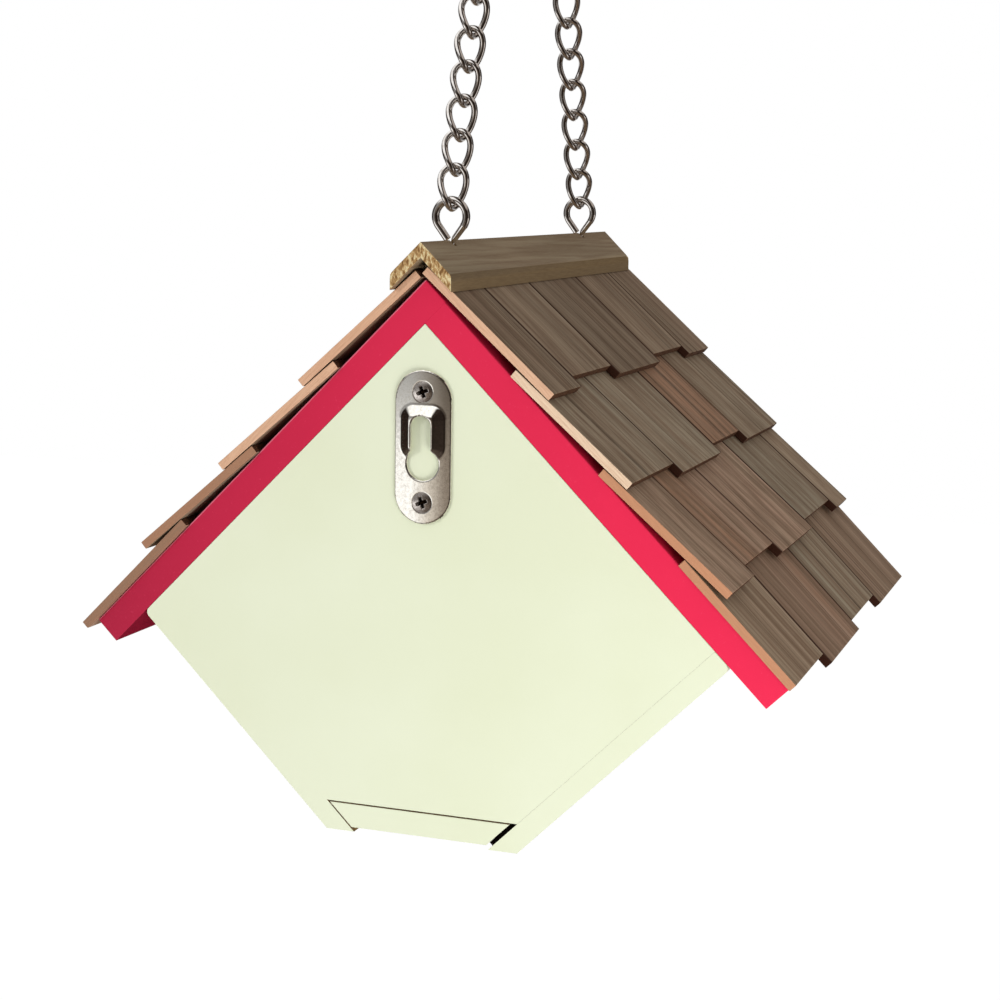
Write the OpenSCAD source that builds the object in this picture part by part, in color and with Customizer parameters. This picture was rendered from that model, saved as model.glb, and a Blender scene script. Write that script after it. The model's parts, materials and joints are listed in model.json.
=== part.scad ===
// Hanging wren house: a square box that stands on its corner under a shingled roof,
// hung by two legs of twisted-link chain from an S-hook.
// The origin is inside the top of the S-hook's upper bow. +Z is up, +Y is the back.

/* [Roof boards] */
// Length of the roof's outer face, from the ridge to the eave
roof_len = 157; // [148:1:180]
// Depth of the roof boards, from back to front
roof_depth = 182; // [170:1:220]
// Thickness of the roof boards
roof_t = 9; // [7:0.5:11]

/* [Box] */
// Length of the box along the roof's underside, from its apex to a wall's outer face
box_side = 133; // [115:1:136]
// Length of a wall's outer face, from the roof down to the flat bottom
wall_drop = 89; // [75:1:100]
// Thickness of the two lower walls
wall_t = 6.5; // [5:0.5:9]
// Thickness of the back and front panels
panel_t = 9; // [7:0.5:12]
// How far the roof runs past the front panel
front_overhang = 25; // [5:1:40]
// Rounding of the walls' upper outer edges
wall_edge_r = 2; // [0.5:0.5:3]
// Glue line between two pieces of wood
glue_gap = 0.1; // [0.05:0.05:0.2]

/* [Entrance] */
// Diameter of the entrance hole
entrance_d = 28.6; // [25:0.1:32]
// Height of the hole's centre above the bottom
entrance_up = 85; // [70:1:105]

/* [Floor] */
// Thickness of the floor board
floor_t = 7.4; // [5:0.2:10]
// Height of the floor's underside above the walls' feet
floor_up = 1.3; // [0.5:0.1:4]
// Gap between the floor and the wall it leans on
floor_seat_gap = 0.3; // [0.2:0.1:0.6]
// Gap between the floor and the other wall
floor_open_gap = 1.4; // [0.4:0.1:2]
// Gap between the floor and the back panel above it
floor_notch_gap = 0.5; // [0.2:0.1:1]
// Gap between the floor's inner end and the front panel
floor_end_gap = 0.3; // [0.2:0.1:1]

/* [Shingles] */
// Thickness of a shingle
shingle_t = 2.6; // [2:0.1:3.2]
// Length of a long shingle
shingle_len = 51; // [46:1:54]
// How much shorter every second shingle is
shingle_stagger = 4; // [2:0.5:6]
// Gap between neighbouring shingles
shingle_gap = 0.4; // [0.2:0.1:1]
// How far the shingles run past the roof boards at the back and at the front
shingle_side_overhang = 1.5; // [0:0.5:4]
// How far the last course runs past the eave
shingle_eave_overhang = 4.5; // [4:0.5:8]
// Last step between courses, beside the others
closing_step = 0.9; // [0.8:0.05:1]
// How far the right slope's first course laps over the ridge
ridge_lap = 1.6; // [0.8:0.1:2]
// Height of the first course's top end above the roof board
ridge_lift = 1; // [0.4:0.1:1.6]
// Clearance between two courses where the upper one bears
lap_gap = 0.2; // [0.1:0.1:0.4]

/* [Ridge cap] */
// Width of the ridge cap
cap_w = 19.2; // [16:0.2:24]
// Height of the cap's upright side edges
cap_edge = 4.8; // [3:0.2:6]
// Height of the cap above its groove, at the middle
cap_middle = 4.7; // [3:0.1:6]
// Length of the cap
cap_len = 184; // [160:1:210]
// How far the cap runs past the roof boards at the back
cap_back_overhang = 4; // [0:0.5:8]
// Clearance between the cap's side edges and the shingles
cap_gap = 0.3; // [0.1:0.1:0.5]

/* [Screw eyes] */
// Wire diameter of the screw eyes
eye_wire = 2.4; // [1.8:0.1:2.6]
// Outside width of the loop
eye_w = 12.2; // [11:0.2:14]
// Height of the loop's centre above the ridge
eye_centre_up = 6.9; // [6.2:0.1:8]
// Slope of the loop's two legs
eye_leg_slope = 53; // [45:1:60]
// Offset of the shank from the loop's centre
eye_shank_offset = 0.5; // [0.2:0.1:0.9]
// Gap between the loop's open end and the leg that runs into the wood
eye_end_gap = 0.15; // [0.1:0.05:0.4]
// Length of the shank below the ridge
eye_shank = 19; // [12:1:20]
// Distance between the two eyes
eye_spacing = 128; // [100:1:150]
// Distance from the roof's back edge to the back eye
eye_inset = 20; // [15:1:40]
// Clearance of the shank in the wood
eye_hole_gap = 0.1; // [0.05:0.05:0.3]

/* [Chain] */
// Number of links in each leg, with its top link
leg_links = 20; // [8:1:24]
// Distance from one link to the next
link_pitch = 10.7; // [9:0.1:13]
// Outside width of a link
link_w = 10; // [9:0.2:11]
// Wire diameter of the links
link_wire = 2; // [1.4:0.1:2.2]
// Twist of a link from its lower end to its upper end
link_twist = 90; // [60:5:90]
// Clearance between two pieces of wire that hang in each other
wire_gap = 0.3; // [0.2:0.05:0.5]

/* [S-hook] */
// Wire diameter of the S-hook
hook_wire = 3; // [2.4:0.1:4]
// Inside radius of the lower bow
hook_low_r = 5.5; // [5:0.5:9]
// Inside radius of the upper bow
hook_top_r = 8.5; // [6:0.5:14]
// Angle that each bow turns through
hook_arc = 300; // [270:5:310]
// Distance of each top link from the middle of the lower bow
top_link_offset = 2.4; // [1.8:0.1:3]

/* [Keyhole plate] */
// Length of the plate
plate_len = 45; // [42:1:55]
// Width of the plate
plate_w = 17; // [16:0.5:22]
// Thickness of the sheet
plate_t = 1.2; // [0.8:0.1:1.6]
// Distance from the ridge down to the plate's top end
plate_drop = 26.6; // [24:0.2:40]
// Distance between the plate's two screws
screw_spacing = 32.8; // [31:0.2:35]
// How far the pressed middle stands out
emboss_h = 2.2; // [1.5:0.1:3]
// Width of the pressed middle at the sheet
emboss_w = 15.4; // [14:0.2:15.6]
// Height of the pressed middle at the sheet
emboss_len = 15; // [14.6:0.2:15.8]
// How far the middle of the pressed part lies above the plate's centre
emboss_up = 4.9; // [4.5:0.1:5.1]
// Width of the keyhole's slot
slot_w = 6.2; // [5:0.1:7]
// Distance from the plate's centre up to the slot's top
slot_up = 9.4; // [8:0.1:10]
// Diameter of the keyhole's round end
keyhole_d = 9.9; // [9:0.1:11]
// Distance from the plate's centre down to the round end's centre
keyhole_down = 4.8; // [3:0.1:5]

/* [Plate screws] */
// Head diameter of the plate's screws
screw_head_d = 6; // [5:0.1:6.4]
// Shank diameter of the plate's screws
screw_d = 3; // [2.5:0.1:3.2]
// Length of a screw, without its domed head
screw_len = 8.5; // [6:0.1:8.5]
// Height of the domed head
screw_dome = 1; // [0.6:0.1:1.4]
// Clearance round a screw
screw_gap = 0.1; // [0.05:0.05:0.2]

/* [Brads] */
// Diameter of the hidden brads
brad_d = 1.2; // [1:0.1:1.6]
// Length of the brads
brad_len = 20; // [16:1:22]
// Depth of a brad's head below the wood's face
brad_sink = 0.8; // [0.5:0.1:1.5]
// Distance from a brad row's ends to the ends of its joint
brad_inset = 16; // [12:1:20]
// Clearance round a brad
brad_gap = 0.05; // [0.02:0.01:0.1]

/* [Hidden] */
$fn = 64;

// Colours, as the object shows them
wood_tone = "#8c7a66";
cap_tone = "#a08a68";
red_paint = "#e7365a";
cream_paint = "#ecf1d3";
steel_tone = "#b9b7b4";
brad_tone = "#8f8f8f";

// The box stands on its corner, so both slopes lie at 45 degrees. A section point (a, b)
// lies a down the left slope and b down the right slope from the outer apex.
slope = 45;
diag = sqrt(2);
past = 1;

// Depths: the house hangs from the middle of its two eyes
back_y = eye_spacing / 2 + eye_inset;
roof_front_y = back_y - roof_depth;
box_front_y = roof_front_y + front_overhang;
eye_y = eye_spacing / 2;

// Section sizes, along the slopes
wall_out = roof_t + box_side;
wall_in = wall_out - wall_t;
bottom_sum = wall_out + roof_t + wall_drop;
floor_low_sum = bottom_sum - floor_up * diag;
floor_top_sum = bottom_sum - (floor_up + floor_t) * diag;
notch_sum = floor_top_sum - floor_notch_gap * diag;
bottom_z = -bottom_sum / diag;

// Courses: where each starts on the slope, and how high its top end lies
courses = 4;
last_start = roof_len + shingle_eave_overhang - shingle_len;
course_step = last_start / (courses - 2 + closing_step);
function course_start(i) = i < courses - 1 ? i * course_step : last_start;
function course_lift(i) = i == 0 ? ridge_lift : glue_gap;
// The left slope's first course stops short of the one that laps over the ridge
ridge_back = ridge_lap - 2 * ridge_lift + shingle_gap * diag;
// The tilt of a course: it bears on the top end of the next course, or on its face at the butt
function bearing(i, reach) =
    course_lift(i + 1) + (shingle_t + lap_gap) / cos(course_tilt(i + 1))
    + (reach - course_start(i + 1)) * tan(course_tilt(i + 1)) - course_lift(i);
function course_tilt(i) =
    i == courses - 1 ? 0 : max(
        atan(bearing(i, course_start(i + 1)) / (course_start(i + 1) - course_start(i))),
        atan(bearing(i, course_start(i) + shingle_len) / shingle_len)
    );

// Widths of the shingles in each course from back to front, as shares of the course
shares_right = [[27, 41, 50, 39, 29], [46, 51, 39, 50], [29, 40, 50, 46, 21], [42, 50, 43, 51]];
shares_left = [[38, 45, 31, 44, 28], [30, 48, 42, 66], [44, 36, 49, 32, 25], [35, 52, 40, 59]];
shingle_run = roof_depth + 2 * shingle_side_overhang;
function total(v, n) = n == 0 ? 0 : v[n - 1] + total(v, n - 1);

// Ridge cap: its side edges sit on the first course
cap_half = cap_w / 2;
first_rise = tan(course_tilt(0));
first_face = ridge_lift + shingle_t / cos(course_tilt(0)) + cap_half * diag * first_rise;
cap_groove_z = (first_face + cap_gap) / (1 + first_rise) * diag;
cap_top_z = cap_groove_z + cap_middle;
cap_low_z = cap_groove_z - cap_half;

// Screw eyes
eye_r = (eye_w - eye_wire) / 2;
eye_centre_z = cap_top_z + eye_centre_up;
eye_top_z = eye_centre_z + eye_r;
eye_sides = 8;
eye_steps = 20;

// Chain: every link hangs in the next with the wire gap between them
link_h = link_pitch + link_wire + wire_gap;
link_half = (link_w - link_wire) / 2;
link_squareness = 2.4;
link_rings = 18;
link_sides = 6;
eye_link_gap = (eye_wire + link_wire) / 2 + wire_gap;
hook_link_gap = (hook_wire + link_wire) / 2 + wire_gap;
leg_len = leg_links * link_pitch + (link_h - link_pitch) - eye_link_gap - hook_link_gap;
leg_reach = eye_y - top_link_offset;
leg_lean = asin(leg_reach / leg_len);

// Heights above the origin: the hook, then the legs, then the house
low_bow_r = hook_low_r + hook_wire / 2;
top_bow_r = hook_top_r + hook_wire / 2;
hook_steps = 20;
hook_sides = 12;
low_bow_z = -hook_top_r - top_bow_r - low_bow_r;
leg_top_z = low_bow_z - sqrt(pow(low_bow_r, 2) - pow(top_link_offset, 2));
apex_z = leg_top_z - leg_len * cos(leg_lean) - eye_top_z;

// Keyhole plate, measured from the plate's centre
plate_z = -plate_drop - plate_len / 2;

// Places a piece of the house below the chain
module house() {
    translate([0, 0, apex_z]) children();
}

// Extrudes a section drawn in (a, b) from one depth to another
module board(y_back, y_front) {
    translate([0, y_back, 0]) rotate([90, 0, 0]) linear_extrude(y_back - y_front)
        rotate(-slope) mirror([0, 1]) children();
}

// Lays children on a slope: x runs down it, z stands off it. The left slope is at +X.
module on_slope(side) {
    mirror([side < 0 ? 1 : 0, 0, 0]) rotate([0, slope, 0]) children();
}

// Joins rings of points into a tube, closed end to end or with flat ends
function ring(centre, along, across, r, sides) =
    let (up = cross(along, across) / norm(cross(along, across)), out = cross(up, along) / norm(along))
    [for (j = [0:sides - 1]) centre + r * (cos(360 * j / sides) * out + sin(360 * j / sides) * up)];
function flatten(v) = [for (part = v) for (item = part) item];
function skin(rings, sides, closed) =
    [for (i = [0:rings - (closed ? 1 : 2)], j = [0:sides - 1], half = [0, 1])
        let (a = i * sides + j, b = i * sides + (j + 1) % sides,
             c = (i + 1) % rings * sides + (j + 1) % sides, d = (i + 1) % rings * sides + j)
        half == 0 ? [a, b, c] : [a, c, d]];

// A bent wire with flat ends, along a path that lies square to one direction
module wire(path, across, d, sides) {
    n = len(path);
    rings = [for (i = [0:n - 1])
        ring(path[i], path[min(i + 1, n - 1)] - path[max(i - 1, 0)], across, d / 2, sides)];
    first_end = [for (j = [sides - 1:-1:0]) j];
    last_end = [for (j = [0:sides - 1]) (n - 1) * sides + j];
    polyhedron(points = flatten(rings), faces = concat([first_end], skin(n, sides, false), [last_end]));
}

// One twisted link, its length along Z: an oval loop of wire whose two bows are turned apart
function turn_at(z) = 90 * (0.5 - z / link_h) * link_twist / 90 + (90 - link_twist) / 2;
function oval(v, half) = half * sign(v) * pow(abs(v), 2 / link_squareness);
function link_point(t) =
    let (x = oval(cos(t), link_half), z = oval(sin(t), link_h / 2), turn = turn_at(z))
    [x * cos(turn), x * sin(turn), z];
module link() {
    step = 360 / link_rings;
    rings = [for (i = [0:link_rings - 1])
        let (t = i * step, centre = link_point(t), along = link_point(t + 2) - link_point(t - 2),
             turn = turn_at(centre[2]), normal = [-sin(turn), cos(turn), 0])
        ring(centre, along, cross(normal, along), link_wire / 2, link_sides)];
    polyhedron(points = flatten(rings), faces = skin(link_rings, link_sides, true));
}

// Links of one leg: number 1 hangs in the screw eye, the last hangs on the S-hook
module leg(side, first, last) {
    house() translate([0, side * eye_y, eye_top_z]) rotate([side * leg_lean, 0, 0])
        for (k = [first:last]) translate([0, 0, link_h / 2 - eye_link_gap + (k - 1) * link_pitch]) link();
}

// One bent-wire screw eye: a pear-shaped loop that faces back and front. Its two legs run
// towards one point below the loop: one bends into the wood there, and the open one ends on it.
module screw_eye(y) {
    tangent = 90 - eye_leg_slope;
    between = 180 - 2 * eye_leg_slope;
    meet_z = eye_centre_z - eye_r / cos(eye_leg_slope);
    open_end = (eye_wire / 2 * (1 + cos(between)) + eye_end_gap) / sin(between);
    corner_z = meet_z + eye_shank_offset * tan(eye_leg_slope);
    bend = eye_wire * 0.6;
    bend_steps = 4;
    arc = 180 + 2 * tangent;
    path = concat(
        [[-eye_shank_offset, y, cap_top_z - eye_shank]],
        [for (i = [0:bend_steps]) let (t = i / bend_steps)
            [-eye_shank_offset - pow(t, 2) * bend * cos(eye_leg_slope), y,
             corner_z - pow(1 - t, 2) * bend + pow(t, 2) * bend * sin(eye_leg_slope)]],
        [for (i = [0:eye_steps]) let (t = -tangent + arc * i / eye_steps)
            [-eye_r * cos(t), y, eye_centre_z + eye_r * sin(t)]],
        [[open_end * cos(eye_leg_slope), y, meet_z + open_end * sin(eye_leg_slope)]]
    );
    house() wire(path, [0, 1, 0], eye_wire, eye_sides);
}

// Holes that the two shanks need in the wood
module shank_holes() {
    for (y = [-eye_y, eye_y]) translate([-eye_shank_offset, y, cap_top_z - eye_shank - eye_hole_gap])
        cylinder(r = eye_wire / 2 + eye_hole_gap, h = eye_shank + past);
}

// One piece of wire: the upper bow opens to the back, the lower bow to the front
module s_hook() {
    path = concat(
        [for (i = [0:hook_steps]) let (t = 270 - hook_arc * (1 - i / hook_steps))
            [0, top_bow_r * cos(t), -hook_top_r + top_bow_r * sin(t)]],
        [for (i = [1:hook_steps]) let (t = 90 - hook_arc * i / hook_steps)
            [0, low_bow_r * cos(t), low_bow_z + low_bow_r * sin(t)]]
    );
    color(steel_tone) wire(path, [1, 0, 0], hook_wire, hook_sides);
}

module top_links() {
    color(steel_tone) {
        leg(1, leg_links, leg_links);
        leg(-1, leg_links, leg_links);
    }
}

module chain_back() {
    color(steel_tone) leg(1, 1, leg_links - 1);
}

module chain_front() {
    color(steel_tone) leg(-1, 1, leg_links - 1);
}

module screw_eye_back() {
    color(steel_tone) screw_eye(eye_y);
}

module screw_eye_front() {
    color(steel_tone) screw_eye(-eye_y);
}

// V-grooved moulding over the ridge
module ridge_cap() {
    color(cap_tone) house() difference() {
        translate([0, back_y + cap_back_overhang, 0]) rotate([90, 0, 0]) linear_extrude(cap_len)
            polygon([[0, cap_top_z], [cap_half, cap_low_z + cap_edge], [cap_half, cap_low_z],
                     [0, cap_groove_z], [-cap_half, cap_low_z], [-cap_half, cap_low_z + cap_edge]]);
        shank_holes();
    }
}

// The left board runs through to the apex, and the right board butts against its underside
module roof_board_left() {
    color(red_paint) house() difference() {
        board(back_y, roof_front_y) square([roof_len, roof_t]);
        shank_holes();
        roof_brad_row(1, brad_gap);
        apex_brad_row(brad_gap);
    }
}

module roof_board_right() {
    color(red_paint) house() difference() {
        board(back_y, roof_front_y) translate([0, roof_t + glue_gap]) square([roof_t, roof_len - roof_t - glue_gap]);
        roof_brad_row(-1, brad_gap);
        apex_brad_row(brad_gap);
    }
}

// One course of shingles, long and short by turns, tilted on the course below. Every left
// course starts with a long one at the back, and every second right course with a short one.
module shingles(side, i) {
    shares = side > 0 ? shares_left[i] : shares_right[i];
    n = len(shares);
    unit = shingle_run / total(shares, n);
    lap = i > 0 ? 0 : side < 0 ? ridge_lap : -ridge_back;
    color(wood_tone) house() difference() {
        on_slope(side) translate([course_start(i), back_y + shingle_side_overhang, course_lift(i)])
            rotate([0, -course_tilt(i), 0])
                for (j = [0:n - 1]) {
                    seam = j < n - 1 ? shingle_gap : 0;
                    butt = shingle_len - (side > 0 ? j : i + j) % 2 * shingle_stagger;
                    translate([-lap, seam - total(shares, j + 1) * unit, 0])
                        cube([butt + lap, shares[j] * unit - seam, shingle_t]);
                }
        if (i == 0) shank_holes();
    }
}

module shingles_left_1() { shingles(1, 0); }
module shingles_left_2() { shingles(1, 1); }
module shingles_left_3() { shingles(1, 2); }
module shingles_left_4() { shingles(1, 3); }
module shingles_right_1() { shingles(-1, 0); }
module shingles_right_2() { shingles(-1, 1); }
module shingles_right_3() { shingles(-1, 2); }
module shingles_right_4() { shingles(-1, 3); }

// Outline of a panel between the roof boards and the walls, cut off level at a section sum
module panel_outline(cut_sum) {
    low = roof_t + glue_gap;
    high = wall_in - glue_gap;
    polygon([[low, low], [high, low], [high, cut_sum - high], [cut_sum - high, high], [low, high]]);
}

// The back panel stops above the floor board, which slides out under it
module back_panel() {
    color(cream_paint) house() difference() {
        board(back_y, back_y - panel_t) panel_outline(notch_sum);
        for (z = [-1, 1]) translate([0, back_y + past, plate_z + z * screw_spacing / 2]) rotate([90, 0, 0])
            cylinder(d = screw_d + 2 * screw_gap, h = screw_len - plate_t + screw_gap + past);
        roof_brad_row(1, brad_gap);
        roof_brad_row(-1, brad_gap);
        wall_brad_row(1, brad_gap);
        wall_brad_row(-1, brad_gap);
    }
}

module front_panel() {
    color(cream_paint) house() difference() {
        board(box_front_y + panel_t, box_front_y) panel_outline(bottom_sum);
        translate([0, box_front_y - past, bottom_z + entrance_up]) rotate([-90, 0, 0])
            cylinder(d = entrance_d, h = panel_t + 2 * past);
        roof_brad_row(1, brad_gap);
        roof_brad_row(-1, brad_gap);
        wall_brad_row(1, brad_gap);
        wall_brad_row(-1, brad_gap);
    }
}

// A lower wall: square to the roof, with its foot cut level
module wall(side) {
    low = roof_t + glue_gap;
    color(cream_paint) house() mirror([side < 0 ? 1 : 0, 0, 0]) difference() {
        board(back_y, box_front_y) union() {
            translate([wall_out - wall_edge_r, low + wall_edge_r]) circle(r = wall_edge_r);
            polygon([[wall_in, low], [wall_out - wall_edge_r, low], [wall_out - wall_edge_r, low + wall_edge_r],
                     [wall_out, low + wall_edge_r], [wall_out, bottom_sum - wall_out],
                     [wall_in, bottom_sum - wall_in]]);
        }
        wall_brad_row(1, brad_gap);
    }
}

module wall_left() { wall(1); }
module wall_right() { wall(-1); }

// The floor is wider above than below, so it rests in the V of the walls
module floor_board() {
    seat = wall_in - floor_seat_gap;
    open = wall_in - floor_open_gap;
    color(cream_paint) house() board(back_y, box_front_y + panel_t + floor_end_gap)
        polygon([[seat, floor_low_sum - seat], [seat, floor_top_sum - seat],
                 [floor_top_sum - open, open], [floor_low_sum - open, open]]);
}

// A block with sloping sides: the pressed middle of the plate, or the hollow behind it
module pressed(w, len, h, out) {
    intersection() {
        translate([0, 0, -len / 2]) linear_extrude(len)
            polygon([[-w / 2, 0], [w / 2, 0], [w / 2 - h, out], [h - w / 2, out]]);
        rotate([90, 0, 90]) translate([0, 0, -w / 2]) linear_extrude(w)
            polygon([[0, -len / 2], [0, len / 2], [out, len / 2 - h], [out, h - len / 2]]);
    }
}

// Keyhole hanger: a round-ended plate with a pressed middle, on the back panel
module keyhole_plate() {
    end_z = (plate_len - plate_w) / 2;
    round_end = -keyhole_down;
    slot_top = slot_up - slot_w / 2;
    color(steel_tone) house() translate([0, back_y, plate_z]) difference() {
        union() {
            rotate([-90, 0, 0]) linear_extrude(plate_t) {
                square([plate_w, 2 * end_z], center = true);
                for (z = [-end_z, end_z]) translate([0, z]) circle(d = plate_w);
            }
            translate([0, 0, emboss_up]) pressed(emboss_w, emboss_len, emboss_h, plate_t + emboss_h);
        }
        translate([0, -past, emboss_up]) pressed(emboss_w - 2 * plate_t, emboss_len - 2 * plate_t, emboss_h, emboss_h + past);
        rotate([-90, 0, 0]) translate([0, 0, -past]) linear_extrude(plate_t + emboss_h + 2 * past) {
            translate([0, -round_end]) circle(d = keyhole_d);
            translate([0, -slot_top]) circle(d = slot_w);
            translate([-slot_w / 2, -slot_top]) square([slot_w, slot_top - round_end]);
        }
        for (z = [-1, 1]) translate([0, 0, z * screw_spacing / 2]) rotate([-90, 0, 0]) screw_hole();
    }
}

// Countersunk hole in the plate
module screw_hole() {
    wide = screw_head_d / 2 + screw_gap;
    narrow = screw_d / 2 + screw_gap;
    translate([0, 0, -past]) cylinder(r = narrow, h = plate_t + 2 * past);
    cylinder(r1 = narrow, r2 = wide, h = plate_t);
    translate([0, 0, plate_t]) cylinder(r = wide, h = past);
}

// Oval-head cross-recess screws: the head fills the countersink and stands out as a low dome
module plate_screws() {
    dome_r = (pow(screw_head_d / 2, 2) + pow(screw_dome, 2)) / (2 * screw_dome);
    recess = screw_head_d * 0.6;
    color(steel_tone) house() for (z = [-1, 1])
        translate([0, back_y, plate_z + z * screw_spacing / 2]) rotate([-90, 0, 0]) difference() {
            rotate_extrude() {
                translate([0, -(screw_len - plate_t)]) square([screw_d / 2, screw_len - plate_t]);
                polygon([[0, 0], [screw_d / 2, 0], [screw_head_d / 2, plate_t], [0, plate_t]]);
                intersection() {
                    translate([0, plate_t + screw_dome - dome_r]) circle(r = dome_r);
                    translate([0, plate_t]) square([screw_head_d / 2, screw_dome]);
                }
            }
            for (turn = [20, 110]) rotate(turn) translate([-recess / 2, -0.4, plate_t / 2])
                cube([recess, 0.8, plate_t + screw_dome]);
        }
}

// One brad that points down the a axis of the section from a = 0, at (b, y)
module brad(b, y, gap) {
    on_slope(1) translate([brad_sink - gap, y, -b]) rotate([0, 90, 0])
        cylinder(d = brad_d + 2 * gap, h = brad_len + 2 * gap);
}

// Middle depth of each panel
panel_depths = [back_y - panel_t / 2, box_front_y + panel_t / 2];

// Brads through a roof board into the edges of both panels
module roof_brad_row(side, gap) {
    first = roof_t + brad_inset;
    span = wall_in - brad_inset - first;
    mirror([side < 0 ? 0 : 1, 0, 0]) for (y = panel_depths, k = [0:2]) brad(first + span * k / 2, y, gap);
}

// Brads through a wall into the edges of both panels
module wall_brad_row(side, gap) {
    first = roof_t + brad_inset;
    last = notch_sum - wall_in - brad_inset;
    mirror([side < 0 ? 1 : 0, 0, 0]) for (y = panel_depths, k = [0:2])
        on_slope(1) translate([wall_out, 0, 0]) mirror([1, 0, 0])
            translate([brad_sink - gap, y, -(first + (last - first) * k / 2)]) rotate([0, 90, 0])
                cylinder(d = brad_d + 2 * gap, h = brad_len + 2 * gap);
}

// Brads through the left roof board into the end of the right one, clear of the screw eyes
module apex_brad_row(gap) {
    inset = eye_inset / 2;
    for (y = [back_y - inset, 0, roof_front_y + inset]) mirror([1, 0, 0]) brad(roof_t / 2, y, gap);
}

module roof_brads() {
    color(brad_tone) house() {
        roof_brad_row(1, 0);
        roof_brad_row(-1, 0);
        apex_brad_row(0);
    }
}

module wall_brads() {
    color(brad_tone) house() {
        wall_brad_row(1, 0);
        wall_brad_row(-1, 0);
    }
}

s_hook();
top_links();
chain_back();
chain_front();
screw_eye_back();
screw_eye_front();
ridge_cap();
roof_board_left();
roof_board_right();
shingles_left_1();
shingles_left_2();
shingles_left_3();
shingles_left_4();
shingles_right_1();
shingles_right_2();
shingles_right_3();
shingles_right_4();
back_panel();
front_panel();
wall_left();
wall_right();
floor_board();
keyhole_plate();
plate_screws();
roof_brads();
wall_brads();
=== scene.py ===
import json
import math
import random

import bmesh
import bpy
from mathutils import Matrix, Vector

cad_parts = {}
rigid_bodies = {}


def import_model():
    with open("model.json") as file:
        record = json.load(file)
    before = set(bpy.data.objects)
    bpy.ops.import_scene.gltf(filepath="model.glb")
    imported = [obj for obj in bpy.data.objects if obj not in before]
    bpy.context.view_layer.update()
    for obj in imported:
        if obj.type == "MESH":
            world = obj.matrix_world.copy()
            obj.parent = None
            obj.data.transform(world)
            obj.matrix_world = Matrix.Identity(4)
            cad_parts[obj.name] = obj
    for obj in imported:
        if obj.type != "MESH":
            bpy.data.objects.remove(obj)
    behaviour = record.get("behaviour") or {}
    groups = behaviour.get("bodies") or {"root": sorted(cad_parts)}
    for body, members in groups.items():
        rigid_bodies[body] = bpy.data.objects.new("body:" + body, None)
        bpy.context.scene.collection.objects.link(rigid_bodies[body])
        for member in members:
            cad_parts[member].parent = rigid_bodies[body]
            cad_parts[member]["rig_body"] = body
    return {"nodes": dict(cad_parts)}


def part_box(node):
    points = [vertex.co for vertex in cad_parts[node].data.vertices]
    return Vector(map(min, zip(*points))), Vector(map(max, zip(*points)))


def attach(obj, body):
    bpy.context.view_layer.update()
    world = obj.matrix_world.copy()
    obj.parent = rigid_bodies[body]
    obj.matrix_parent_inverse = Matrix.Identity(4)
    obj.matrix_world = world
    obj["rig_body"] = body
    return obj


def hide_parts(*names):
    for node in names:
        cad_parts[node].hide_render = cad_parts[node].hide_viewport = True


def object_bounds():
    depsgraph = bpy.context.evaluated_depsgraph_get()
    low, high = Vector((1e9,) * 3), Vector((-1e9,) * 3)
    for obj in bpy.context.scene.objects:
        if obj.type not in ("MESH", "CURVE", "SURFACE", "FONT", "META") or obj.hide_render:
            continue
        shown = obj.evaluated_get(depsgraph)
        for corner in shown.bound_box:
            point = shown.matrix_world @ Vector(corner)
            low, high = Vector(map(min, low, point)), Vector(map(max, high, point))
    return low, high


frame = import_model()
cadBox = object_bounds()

mm = 0.001
nodes = frame["nodes"]
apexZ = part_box("roof_board_left")[1].z / mm
print("frame loaded:", len(nodes), "nodes")


# Small helpers: colours, node trees and meshes
def linear(hexText):
    channels = [int(hexText[i:i + 2], 16) / 255 for i in (1, 3, 5)]
    return [c / 12.92 if c < 0.04045 else ((c + 0.055) / 1.055) ** 2.4 for c in channels] + [1.0]


def addStops(elements, stops):
    # A colour ramp's stops: each is a place and an sRGB hex colour
    elements[0].position, elements[0].color = stops[0][0], linear(stops[0][1])
    elements[1].position, elements[1].color = stops[-1][0], linear(stops[-1][1])
    for place, colour in stops[1:-1]:
        elements.new(place).color = linear(colour)


def addNode(tree, kind, inputs=None, **settings):
    # An input takes a value, an sRGB hex colour, a socket, or a node that gives its first live output
    node = tree.nodes.new(kind)
    for name, value in settings.items():
        if name == "stops":
            addStops(node.color_ramp.elements, value)
        else:
            setattr(node, name, value)
    for name, value in (inputs or {}).items():
        if isinstance(value, bpy.types.Node):
            value = next(output for output in value.outputs if output.enabled)
        if isinstance(value, bpy.types.NodeSocket):
            tree.links.new(value, node.inputs[name])
        elif isinstance(value, str) and value.startswith("#"):
            node.inputs[name].default_value = linear(value)
        else:
            node.inputs[name].default_value = value
    return node


def newMaterial(name):
    material = bpy.data.materials.new(name)
    material.use_nodes = True
    tree = material.node_tree
    tree.nodes.clear()
    return material, tree


def finishMaterial(tree, inputs, height, relief):
    # relief is the depth of the bumps in millimetres
    bump = addNode(tree, "ShaderNodeBump", {"Strength": 1.0, "Distance": relief * mm, "Height": height})
    shader = addNode(tree, "ShaderNodeBsdfPrincipled", {**inputs, "Normal": bump})
    addNode(tree, "ShaderNodeOutputMaterial", {"Surface": shader})


def objectMm(tree):
    # Object coordinates in millimetres
    coord = addNode(tree, "ShaderNodeTexCoord").outputs["Object"]
    return addNode(tree, "ShaderNodeVectorMath", {0: coord, "Scale": 1 / mm}, operation="SCALE")


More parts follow.
